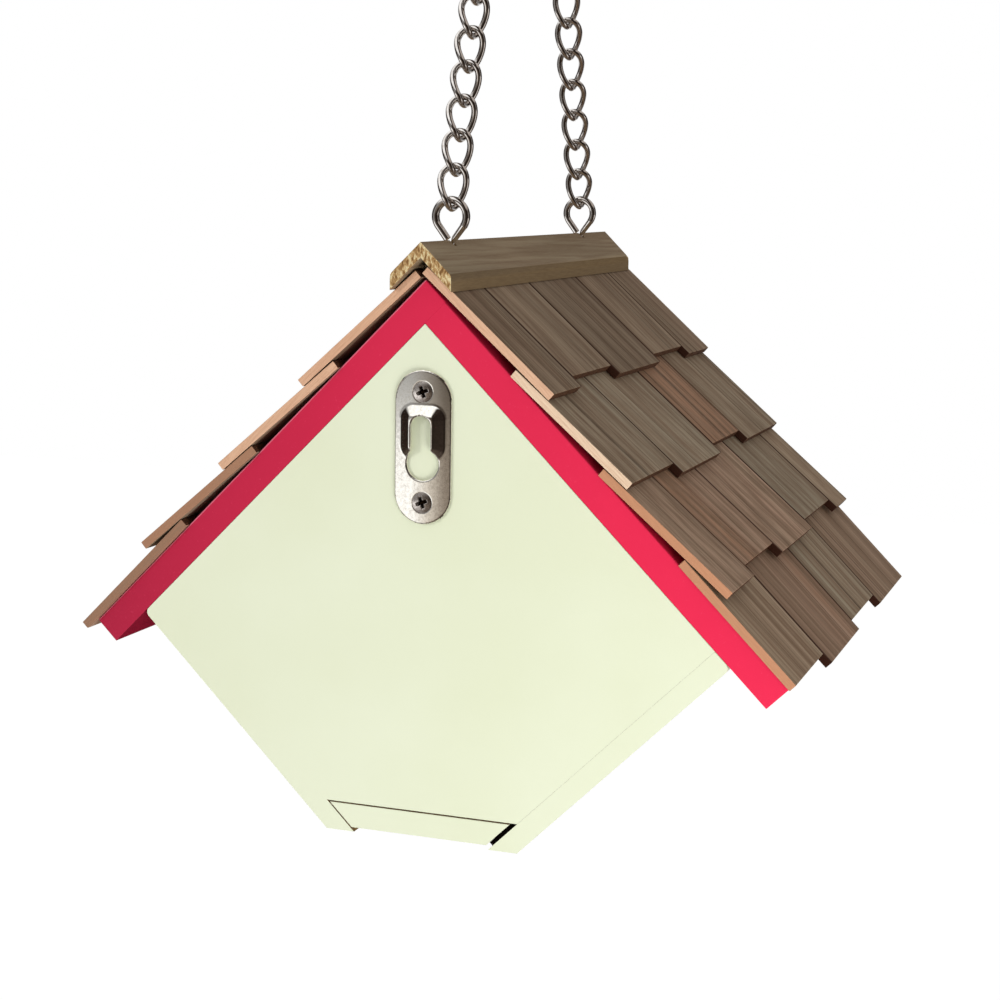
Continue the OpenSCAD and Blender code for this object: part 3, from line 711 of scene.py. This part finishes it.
def eyePath(nodeName):
    low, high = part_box(nodeName)
    y = (low.y + high.y) / 2 / mm
    middle = high.z / mm - wire["eye"] / 2 - wire["eyeLoop"]
    lean = math.radians(wire["eyeSlope"])
    tangent = 90 - wire["eyeSlope"]
    meet = middle - wire["eyeLoop"] / math.cos(lean)
    corner = meet + wire["eyeShankSide"] * math.tan(lean)
    bend = wire["eye"] * wire["bend"]
    path = [(-wire["eyeShankSide"], y, low.z / mm)]
    for i in range(wire["bendSteps"] + 1):
        t = i / wire["bendSteps"]
        path.append((-wire["eyeShankSide"] - t * t * bend * math.cos(lean), y,
                     corner - (1 - t) ** 2 * bend + t * t * bend * math.sin(lean)))
    for i in range(wire["steps"] + 1):
        t = math.radians(-tangent + (180 + 2 * tangent) * i / wire["steps"])
        path.append((-wire["eyeLoop"] * math.cos(t), y, middle + wire["eyeLoop"] * math.sin(t)))
    path.append((wire["eyeOpen"] * math.cos(lean), y, meet + wire["eyeOpen"] * math.sin(lean)))
    return path


finishPiece(plainObject("bent.s_hook", wireMesh(hookPath(), wire["hook"]), wireSteel),
            nodes["s_hook"]["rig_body"], "s_hook")
for name in ("screw_eye_back", "screw_eye_front"):
    eyeMesh = wireMesh(eyePath(name), wire["eye"], wire["threadPoints"])
    finishPiece(plainObject("bent." + name, eyeMesh, wireSteel), nodes[name]["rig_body"], name)
print("wires bent")


# Twisted chain: one link built once and set along a leaning leg. Links are oval loops whose bows are
# turned a quarter turn apart
chain = {"pitch": 10.7, "first": 4.0, "long": 13.0, "half": 4.0, "wire": 2.0, "square": 2.4, "around": 64,
         "sides": 14, "eyeY": 64.0, "eyeTop": -233.883, "lean": 16.9743, "links": 20}


def ovalOf(tree, value, half):
    # half times the value to a power under one, with the value's sign: a circle made a fuller oval
    grown = addNode(tree, "ShaderNodeMath", {0: value}, operation="ABSOLUTE")
    grown = addNode(tree, "ShaderNodeMath", {0: grown, 1: 2 / chain["square"]}, operation="POWER")
    sign = addNode(tree, "ShaderNodeMath", {0: value}, operation="SIGN")
    for share in (sign, half):
        grown = addNode(tree, "ShaderNodeMath", {0: grown, 1: share}, operation="MULTIPLY")
    return grown


def newTree(name):
    tree = bpy.data.node_groups.new(name, "GeometryNodeTree")
    tree.is_modifier = True
    tree.interface.new_socket("Geometry", in_out="OUTPUT", socket_type="NodeSocketGeometry")
    return tree


def addInputs(tree, kinds):
    # Named inputs of a tree, whose identifiers a modifier needs, and the sockets that they give inside it
    inputs = {}
    for name, kind in kinds.items():
        socket = tree.interface.new_socket(name, in_out="INPUT", socket_type="NodeSocket" + kind)
        inputs[name] = socket.identifier
    return inputs, addNode(tree, "NodeGroupInput").outputs


def finishTree(tree, shape, material):
    # The export drops instances, so they are made real
    real = addNode(tree, "GeometryNodeRealizeInstances", {0: shape})
    smooth = addNode(tree, "GeometryNodeSetShadeSmooth", {0: real})
    last = addNode(tree, "GeometryNodeSetMaterial", {0: smooth, "Material": material})
    addNode(tree, "NodeGroupOutput", {0: last})


def makeChainTree():
    tree = newTree("twistedChain")
    inputs, given = addInputs(tree, {"count": "Int", "start": "Float", "pitch": "Float", "long": "Float",
                                     "half": "Float", "wire": "Float", "turn": "Vector", "place": "Vector",
                                     "material": "Material"})
    loop = addNode(tree, "GeometryNodeCurvePrimitiveCircle", {"Resolution": chain["around"], "Radius": 1.0})
    position = addNode(tree, "GeometryNodeInputPosition")
    around = addNode(tree, "ShaderNodeSeparateXYZ", {0: position}).outputs
    low, top = [addNode(tree, "ShaderNodeMath", {0: given["long"], 1: share}, operation="MULTIPLY")
                for share in (-0.5, 0.5)]
    wide = ovalOf(tree, around["X"], given["half"])
    high = ovalOf(tree, around["Y"], top)
    # The loop is turned a quarter turn from its low bow to its high one
    twist = addNode(tree, "ShaderNodeMapRange", {"Value": high, "From Min": low, "From Max": top,
                                                 "To Min": math.pi / 2, "To Max": 0.0})
    ways = [addNode(tree, "ShaderNodeMath", {0: twist}, operation=turn) for turn in ("COSINE", "SINE")]
    x, y = [addNode(tree, "ShaderNodeMath", {0: wide, 1: way}, operation="MULTIPLY") for way in ways]
    place = addNode(tree, "ShaderNodeCombineXYZ", {0: x, 1: y, 2: high})
    bent = addNode(tree, "GeometryNodeSetPosition", {"Geometry": loop, "Position": place})
    radius = addNode(tree, "ShaderNodeMath", {0: given["wire"], 1: 0.5}, operation="MULTIPLY")
    section = addNode(tree, "GeometryNodeCurvePrimitiveCircle",
                      {"Resolution": chain["sides"], "Radius": radius})
    link = addNode(tree, "GeometryNodeCurveToMesh", {0: bent, 1: section})
    start = addNode(tree, "ShaderNodeCombineXYZ", {2: given["start"]})
    step = addNode(tree, "ShaderNodeCombineXYZ", {2: given["pitch"]})
    line = addNode(tree, "GeometryNodeMeshLine", {"Count": given["count"], "Start Location": start,
                                                  "Offset": step})
    row = addNode(tree, "GeometryNodeInstanceOnPoints", {"Points": line, "Instance": link})
    leg = addNode(tree, "GeometryNodeTransform", {"Geometry": row, "Translation": given["place"],
                                                  "Rotation": given["turn"], "Scale": (mm, mm, mm)})
    finishTree(tree, leg, given["material"])
    return tree, inputs


def grownMesh(tree, inputs, values):
    helper = bpy.data.objects.new("grownHelper", bpy.data.meshes.new("grownHelper"))
    modifier = helper.modifiers.new("grown", "NODES")
    modifier.node_group = tree
    for name, value in values.items():
        modifier[inputs[name]] = value
    return evaluated(helper)


chainTree, chainInputs = makeChainTree()


def legMesh(side, first, last):
    sizes = {name: chain[name] for name in ("pitch", "long", "half", "wire")}
    return grownMesh(chainTree, chainInputs, {
        **sizes, "count": last - first + 1, "start": chain["first"] + (first - 1) * chain["pitch"],
        "turn": (math.radians(side * chain["lean"]), 0.0, 0.0),
        "place": (0.0, side * chain["eyeY"] * mm, chain["eyeTop"] * mm), "material": wireSteel})


def chainPiece(nodeName, legs):
    bm = bmesh.new()
    for side, first, last in legs:
        bm.from_mesh(legMesh(side, first, last))
    piece = plainObject("linked." + nodeName, meshFrom(bm, nodeName), wireSteel)
    return finishPiece(piece, nodes[nodeName]["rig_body"], nodeName)


topLink = chain["links"]
chainPiece("chain_back", [(1, 1, topLink - 1)])
chainPiece("chain_front", [(-1, 1, topLink - 1)])
chainPiece("top_links", [(1, topLink, topLink), (-1, topLink, topLink)])
print("chain linked")


# Keyhole plate: one pressed sheet as a fine mesh, its outline and holes fitted to their true curves. nudge is
# the step by which the outline's slope is felt, and thinnest keeps the sheet from closing at its rims
plate = {"wide": 17.8, "long": 45.6, "thick": 1.2, "middle": -305.737, "cell": 0.25, "nudge": 0.01,
         "edge": 0.3, "rim": 0.4, "soft": 0.8, "thinnest": 0.05, "crown": 0.4,
         "pressWide": 14.9, "pressLong": 17.2, "pressUp": 4.4, "pressHigh": 1.85, "flank": 4.2,
         "bend": 0.2, "corner": 4.6,
         "slot": 6.2, "slotUp": 9.4, "hole": 4.95, "holeDown": 4.8, "screw": 16.4,
         "sinkWide": 3.1, "sinkNarrow": 1.6}


def pillDistance(x, z, radius, low, high):
    return math.hypot(x, z - min(max(z, low), high)) - radius


def openDistance(x, z):
    # Distances past the outline, into the keyhole and into a screw hole. All are negative on the sheet
    straight = plate["long"] / 2 - plate["wide"] / 2
    outer = pillDistance(x, z, plate["wide"] / 2, -straight, straight)
    neck = pillDistance(x, z, plate["slot"] / 2, -plate["holeDown"], plate["slotUp"] - plate["slot"] / 2)
    hole = math.hypot(x, z + plate["holeDown"]) - plate["hole"]
    screws = math.hypot(x, abs(z) - plate["screw"]) - plate["sinkNarrow"]
    return outer, -min(neck, hole), -screws


def flankRise(t):
    # A straight flank with a short bend at its foot and one at its top
    t = min(max(t, 0.0), 1.0)
    beside = min(t, 1 - t)
    if beside < plate["bend"]:
        rise = beside ** 2 / (2 * plate["bend"] * (1 - plate["bend"]))
    else:
        rise = (beside - plate["bend"] / 2) / (1 - plate["bend"])
    return rise if t < 0.5 else 1 - rise


def pressHeight(x, z):
    # How far the sheet is pressed out: a raised block with round corners and straight flanks
    across = abs(x) - plate["pressWide"] / 2 + plate["corner"]
    up = abs(z - plate["pressUp"]) - plate["pressLong"] / 2 + plate["corner"]
    inset = plate["corner"] - math.hypot(max(across, 0.0), max(up, 0.0)) - min(max(across, up), 0.0)
    return plate["pressHigh"] * flankRise(inset / plate["flank"])


def sheetHeights(x, z):
    outer, inner = openDistance(x, z)[:2]
    pressed = pressHeight(x, z)
    top = plate["thick"] + pressed - plate["crown"] * (x / (plate["wide"] / 2)) ** 2
    for gap, rounding in ((-outer, plate["edge"]), (-inner, plate["rim"])):
        if gap < rounding:
            gap = max(gap, 0.0)
            top -= plate["soft"] * (rounding - math.sqrt(rounding ** 2 - (rounding - gap) ** 2))
    top = max(top, plate["thinnest"])
    away = math.hypot(x, abs(z) - plate["screw"])
    if away < plate["sinkWide"]:
        sunk = (away - plate["sinkNarrow"]) / (plate["sinkWide"] - plate["sinkNarrow"]) * plate["thick"]
        top = min(top, max(sunk, plate["thinnest"]))
    return top, pressed


def fitted(x, z):
    # Moves a border point onto the true outline
    nudge = plate["nudge"]
    for step in range(4):
        reach = max(openDistance(x, z))
        across = (max(openDistance(x + nudge, z)) - max(openDistance(x - nudge, z))) / (2 * nudge)
        up = (max(openDistance(x, z + nudge)) - max(openDistance(x, z - nudge))) / (2 * nudge)
        size = max(math.hypot(across, up), 0.2)
        x -= reach * across / size ** 2
        z -= reach * up / size ** 2
    return x, z


def plateMesh():
    cell = plate["cell"]
    columns = int(plate["wide"] / cell / 2) + 2
    rows = int(plate["long"] / cell / 2) + 2
    inside = {(i, j) for i in range(-columns, columns) for j in range(-rows, rows)
              if max(openDistance((i + 0.5) * cell, (j + 0.5) * cell)) < 0}
    bm = bmesh.new()
    shared = {}
    for i, j in sorted(inside):
        for corner in ((i, j), (i + 1, j), (i + 1, j + 1), (i, j + 1)):
            shared[corner] = shared.get(corner, 0) + 1
    tops, lows = {}, {}
    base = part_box("keyhole_plate")[0].y
    for corner, count in shared.items():
        x, z = corner[0] * cell, corner[1] * cell
        if count < 4:
            x, z = fitted(x, z)
        top, low = sheetHeights(x, z)
        tops[corner] = bm.verts.new((x * mm, base + top * mm, (plate["middle"] + z) * mm))
        lows[corner] = bm.verts.new((x * mm, base + low * mm, (plate["middle"] + z) * mm))
    for i, j in sorted(inside):
        ring = ((i, j), (i + 1, j), (i + 1, j + 1), (i, j + 1))
        bm.faces.new([tops[c] for c in reversed(ring)])
        bm.faces.new([lows[c] for c in ring])
        beside = ((i, j - 1), (i + 1, j), (i, j + 1), (i - 1, j))
        for k in range(4):
            if beside[k] not in inside:
                first, second = ring[k], ring[(k + 1) % 4]
                bm.faces.new([tops[first], tops[second], lows[second], lows[first]])
    bmesh.ops.recalc_face_normals(bm, faces=bm.faces)
    return smoothed(meshFrom(bm, "keyholePlate"))


finishPiece(plainObject("pressed.keyhole_plate", plateMesh(), nickelPlate),
            "house", "keyhole_plate")
print("plate pressed")


# Oval-head screws with a cross recess, built once and set at both ends of the plate. The recess fades out
# from armFrom to armTo beside each arm, and from tipFrom to tipTo at its end. sheet and apart are the plate's
screw = {"head": 3.1, "dome": 0.5, "shank": 1.5, "point": 0.75, "shankLong": 4.0, "turn": 20.0, "deep": 1.25,
         "armFrom": 0.31, "armTo": 0.59, "tipFrom": 0.9, "tipTo": 2.0,
         "sheet": plate["thick"], "apart": 2 * plate["screw"]}
fineness = {"grid": 61, "sinkSides": 48, "shankSides": 32}


def roundedOf(tree, one, other, radius):
    # From a square grid to a disc: one times the root of 1 - other * other / 2, times the radius
    square = addNode(tree, "ShaderNodeMath", {0: other, 1: other}, operation="MULTIPLY")
    square = addNode(tree, "ShaderNodeMath", {0: square, 1: -0.5, 2: 1.0}, operation="MULTIPLY_ADD")
    root = addNode(tree, "ShaderNodeMath", {0: square}, operation="SQRT")
    for share in (one, radius):
        root = addNode(tree, "ShaderNodeMath", {0: root, 1: share}, operation="MULTIPLY")
    return root


def armOf(tree, given, aside, along):
    # 1 along the middle of an arm, and 0 beside it and past its tip
    arm = 1.0
    for way, low, high in ((aside, "armFrom", "armTo"), (along, "tipFrom", "tipTo")):
        fade = addNode(tree, "ShaderNodeMapRange", {"Value": way, "From Min": given[low],
                                                    "From Max": given[high], "To Min": 1.0, "To Max": 0.0},
                       interpolation_type="SMOOTHSTEP")
        arm = addNode(tree, "ShaderNodeMath", {0: arm, 1: fade}, operation="MULTIPLY")
    return arm


def domeOf(tree, given, flat):
    # Height of a low dome cut from a ball, whose radius is (head * head + dome * dome) / (2 * dome)
    radius = addNode(tree, "ShaderNodeMath", {0: given["head"], 1: given["head"]}, operation="MULTIPLY")
    radius = addNode(tree, "ShaderNodeMath", {0: given["dome"], 1: given["dome"], 2: radius},
                     operation="MULTIPLY_ADD")
    twice = addNode(tree, "ShaderNodeMath", {0: given["dome"], 1: 2.0}, operation="MULTIPLY")
    radius = addNode(tree, "ShaderNodeMath", {0: radius, 1: twice}, operation="DIVIDE")
    away = addNode(tree, "ShaderNodeVectorMath", {0: flat}, operation="LENGTH")
    ball, square = [addNode(tree, "ShaderNodeMath", {0: way, 1: way}, operation="MULTIPLY")
                    for way in (radius, away)]
    height = addNode(tree, "ShaderNodeMath", {0: ball, 1: square}, operation="SUBTRACT")
    height = addNode(tree, "ShaderNodeMath", {0: height}, operation="SQRT")
    height = addNode(tree, "ShaderNodeMath", {0: height, 1: radius}, operation="SUBTRACT")
    return addNode(tree, "ShaderNodeMath", {0: height, 1: given["dome"]}, operation="ADD")


def makeScrewTree():
    tree = newTree("crossScrews")
    inputs, given = addInputs(tree, {**dict.fromkeys(screw, "Float"), "place": "Vector",
                                     "material": "Material"})
    grid = addNode(tree, "GeometryNodeMeshGrid",
                   {"Size X": 2.0, "Size Y": 2.0, "Vertices X": fineness["grid"],
                    "Vertices Y": fineness["grid"]})
    position = addNode(tree, "GeometryNodeInputPosition")
    u, v = addNode(tree, "ShaderNodeSeparateXYZ", {0: position}).outputs[:2]
    x, y = [roundedOf(tree, one, other, given["head"]) for one, other in ((u, v), (v, u))]
    flat = addNode(tree, "ShaderNodeCombineXYZ", {0: x, 1: y})
    angle = addNode(tree, "ShaderNodeMath", {0: given["turn"]}, operation="RADIANS")
    turned = addNode(tree, "ShaderNodeVectorRotate", {0: flat, "Angle": angle}, rotation_type="Z_AXIS",
                     invert=True)
    ways = addNode(tree, "ShaderNodeSeparateXYZ", {0: turned}).outputs[:2]
    p, q = [addNode(tree, "ShaderNodeMath", {0: way}, operation="ABSOLUTE") for way in ways]
    cross = addNode(tree, "ShaderNodeMath", {0: armOf(tree, given, p, q), 1: armOf(tree, given, q, p)},
                    operation="MAXIMUM")
    sunk = addNode(tree, "ShaderNodeMath", {0: cross, 1: given["deep"]}, operation="MULTIPLY")
    height = domeOf(tree, given, flat)
    height = addNode(tree, "ShaderNodeMath", {0: height, 1: given["sheet"]}, operation="ADD")
    height = addNode(tree, "ShaderNodeMath", {0: height, 1: sunk}, operation="SUBTRACT")
    spot = addNode(tree, "ShaderNodeCombineXYZ", {0: x, 1: y, 2: height})
    # The cross is kept for the material, which paints shade into the recess
    marked = addNode(tree, "GeometryNodeStoreNamedAttribute",
                     {"Geometry": grid, "Name": "recess", "Value": cross}, data_type="FLOAT", domain="POINT")
    head = addNode(tree, "GeometryNodeSetPosition", {"Geometry": marked, "Position": spot})
    cone = addNode(tree, "GeometryNodeMeshCone",
                   {"Vertices": fineness["sinkSides"], "Radius Top": given["head"],
                    "Radius Bottom": given["shank"], "Depth": given["sheet"]}, fill_type="NONE")
    shank = addNode(tree, "GeometryNodeMeshCone",
                    {"Vertices": fineness["shankSides"], "Radius Top": given["shank"],
                     "Radius Bottom": given["point"], "Depth": given["shankLong"]})
    down = addNode(tree, "ShaderNodeMath", {0: given["shankLong"], 1: -1.0}, operation="MULTIPLY")
    down = addNode(tree, "ShaderNodeCombineXYZ", {2: down})
    lowered = addNode(tree, "GeometryNodeTransform", {"Geometry": shank, "Translation": down})
    joined = addNode(tree, "GeometryNodeJoinGeometry")
    for part in (head, cone, lowered):
        tree.links.new(part.outputs[0], joined.inputs[0])
    first = addNode(tree, "ShaderNodeMath", {0: given["apart"], 1: -0.5}, operation="MULTIPLY")
    first, step = [addNode(tree, "ShaderNodeCombineXYZ", {1: way}) for way in (first, given["apart"])]
    line = addNode(tree, "GeometryNodeMeshLine", {"Count": 2, "Start Location": first, "Offset": step})
    pair = addNode(tree, "GeometryNodeInstanceOnPoints", {"Points": line, "Instance": joined})
    faced = addNode(tree, "GeometryNodeTransform", {"Geometry": pair, "Translation": given["place"],
                                                    "Rotation": (-math.pi / 2, 0, 0), "Scale": (mm, mm, mm)})
    finishTree(tree, faced, given["material"])
    return tree, inputs


screwTree, screwInputs = makeScrewTree()
screwMesh = grownMesh(screwTree, screwInputs, {
    **screw, "place": (0.0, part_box("keyhole_plate")[0].y, plate["middle"] * mm), "material": screwSteel})
finishPiece(plainObject("domed.plate_screws", screwMesh, screwSteel), "house", "plate_screws")
for name in ("roof_brads", "wall_brads"):
    nodes[name].data.materials.clear()
    nodes[name].data.materials.append(bradSteel)
print("screws set")


# Studio: pale floor far below, soft light all round, a far key lamp at the picture's left, a wide lamp
# low at its right, one for the hidden front, and the camera where the photo was taken. Each lamp has a
# place, a size and a power. The bands run round the object from behind it, by the picture's left, to
# behind it again, and 0.5 is at the camera. dim veils them from just under the level upward, ground hides
# them far below and overhead high above: two heights, the shares at them, and a colour
studio = {
    "eye": (-211.9, 611.5, -229.68), "turn": (80.855, -0.895, -160.254), "lens": 70.14, "sensor": 36,
    "near": 10, "far": 50000, "aim": (0, 84, -350), "sky": 0.5, "mirrored": 1.25,
    "floorUnder": 900, "floorSize": 6000, "floorGlow": 1.15, "floorShare": 0.8,
    "lamps": {"key": ((1500, 1900, 150), 500, 12.6), "side": ((-450, 430, -600), 300, 1.9),
              "front": ((300, -1200, -200), 700, 4.0)},
    "bands": [(0.0, "#FFFFFF"), (0.13, "#FFFFFF"), (0.16, "#2A201B"), (0.255, "#241C18"),
              (0.285, "#FFFFFF"), (0.374, "#FFFFFF"), (0.392, "#CEC6BC"), (0.41, "#857A6F"),
              (0.43, "#7A7066"), (0.47, "#6E645A"), (0.495, "#1C1410"), (0.53, "#1C1410"),
              (0.6, "#3E342E"), (0.64, "#1C1410"), (0.67, "#F0EAE4"), (0.7, "#F0EAE4"),
              (0.74, "#4A3C36"), (0.84, "#1C1410"), (0.93, "#FFFFFF")],
    "overhead": [(0.0, "#FFFFFF"), (0.3, "#FFFFFF"), (0.42, "#2A201B"), (0.75, "#2A201B"), (0.9, "#B0A8A2")],
    "dim": (-0.14, -0.1, 0.0, 0.75, "#1C1410"), "ground": (-0.6, -0.3, 0.8, 0.0, "#4A403A"),
    "high": (0.35, 0.6, 0.0, 1.0),
}


def makeWorld():
    world = bpy.data.worlds.new("studioAir")
    world.use_nodes = True
    tree = world.node_tree
    tree.nodes.clear()
    rays = addNode(tree, "ShaderNodeLightPath").outputs
    air = addNode(tree, "ShaderNodeBackground", {"Color": "#FFFFFF", "Strength": studio["sky"]})
    shown = addNode(tree, "ShaderNodeBackground", {"Color": "#FFFFFF", "Strength": 1.0})
    # What bright metal mirrors: white and dark bands at the left, brown in front, mostly dark at the right
    look = addNode(tree, "ShaderNodeTexCoord").outputs["Generated"]
    camera = math.atan2(studio["eye"][1], studio["eye"][0])
    turned = addNode(tree, "ShaderNodeVectorRotate", {0: look, "Angle": -camera}, rotation_type="Z_AXIS")
    around = addNode(tree, "ShaderNodeTexGradient", {0: turned}, gradient_type="RADIAL").outputs["Fac"]
    bands = addNode(tree, "ShaderNodeValToRGB", {"Fac": around}, stops=studio["bands"])
    rightward = (-math.sin(camera), math.cos(camera), 0)
    sideways = addNode(tree, "ShaderNodeVectorMath", {0: look, 1: rightward}, operation="DOT_PRODUCT")
    sideways = addNode(tree, "ShaderNodeMapRange", {"Value": sideways, "From Min": -0.6, "From Max": 0.6})
    above = addNode(tree, "ShaderNodeValToRGB", {"Fac": sideways}, stops=studio["overhead"])
    height = addNode(tree, "ShaderNodeSeparateXYZ", {0: look}).outputs["Z"]
    for low, high, atLow, atHigh, sight in (studio["dim"], studio["ground"], (*studio["high"], above)):
        share = addNode(tree, "ShaderNodeMapRange", {"Value": height, "From Min": low, "From Max": high,
                                                     "To Min": atLow, "To Max": atHigh},
                        interpolation_type="SMOOTHSTEP")
        bands = addNode(tree, "ShaderNodeMix", {0: share, 6: bands, 7: sight}, data_type="RGBA")
    mirrored = addNode(tree, "ShaderNodeBackground", {"Color": bands, "Strength": studio["mirrored"]})
    mixed = addNode(tree, "ShaderNodeMixShader", {0: rays["Is Glossy Ray"], 1: air, 2: mirrored})
    straight = addNode(tree, "ShaderNodeMath", {0: rays["Is Camera Ray"], 1: rays["Is Transmission Ray"]},
                       operation="MAXIMUM")
    mixed = addNode(tree, "ShaderNodeMixShader", {0: straight, 1: mixed, 2: shown})
    addNode(tree, "ShaderNodeOutputWorld", {"Surface": mixed})
    bpy.context.scene.world = world


def makeLamps():
    for name, (place, size, power) in studio["lamps"].items():
        lamp = bpy.data.lights.new(name + "Lamp", "AREA")
        lamp.size = size * mm
        lamp.energy = power
        holder = bpy.data.objects.new(name + "Lamp", lamp)
        holder.location = Vector(place) * mm
        toward = (Vector(studio["aim"]) - Vector(place)) * mm
        holder.rotation_euler = toward.to_track_quat("-Z", "Y").to_euler()
        holder.visible_camera = False
        holder.visible_glossy = False
        bpy.context.scene.collection.objects.link(holder)


def makeFloor():
    bm = bmesh.new()
    bmesh.ops.create_grid(bm, x_segments=1, y_segments=1, size=studio["floorSize"] * mm)
    material, tree = newMaterial("paleFloorPaper")
    seen = addNode(tree, "ShaderNodeLightPath").outputs["Is Camera Ray"]
    matt = addNode(tree, "ShaderNodeBsdfPrincipled", {"Base Color": "#F4F4F2", "Roughness": 0.9})
    white = addNode(tree, "ShaderNodeEmission", {"Color": "#FFFFFF", "Strength": studio["floorGlow"]})
    share = addNode(tree, "ShaderNodeMath", {0: seen, 1: studio["floorShare"]}, operation="MULTIPLY")
    mixed = addNode(tree, "ShaderNodeMixShader", {0: share, 1: matt, 2: white})
    addNode(tree, "ShaderNodeOutputMaterial", {"Surface": mixed})
    floor = plainObject("paleFloor", meshFrom(bm, "paleFloor"), material)
    floor.location = (0, 0, cadBox[0].z - studio["floorUnder"] * mm)
    floor.visible_glossy = False


def makeCamera():
    lens = bpy.data.cameras.new("photoCamera")
    lens.sensor_width = studio["sensor"]
    lens.lens = studio["lens"]
    lens.clip_start = studio["near"] * mm
    lens.clip_end = studio["far"] * mm
    camera = bpy.data.objects.new("photoCamera", lens)
    camera.location = Vector(studio["eye"]) * mm
    camera.rotation_euler = [math.radians(a) for a in studio["turn"]]
    bpy.context.scene.collection.objects.link(camera)
    bpy.context.scene.camera = camera
    bpy.context.scene.view_settings.view_transform = "Standard"


makeWorld()
makeLamps()
makeFloor()
makeCamera()
print("studio made")
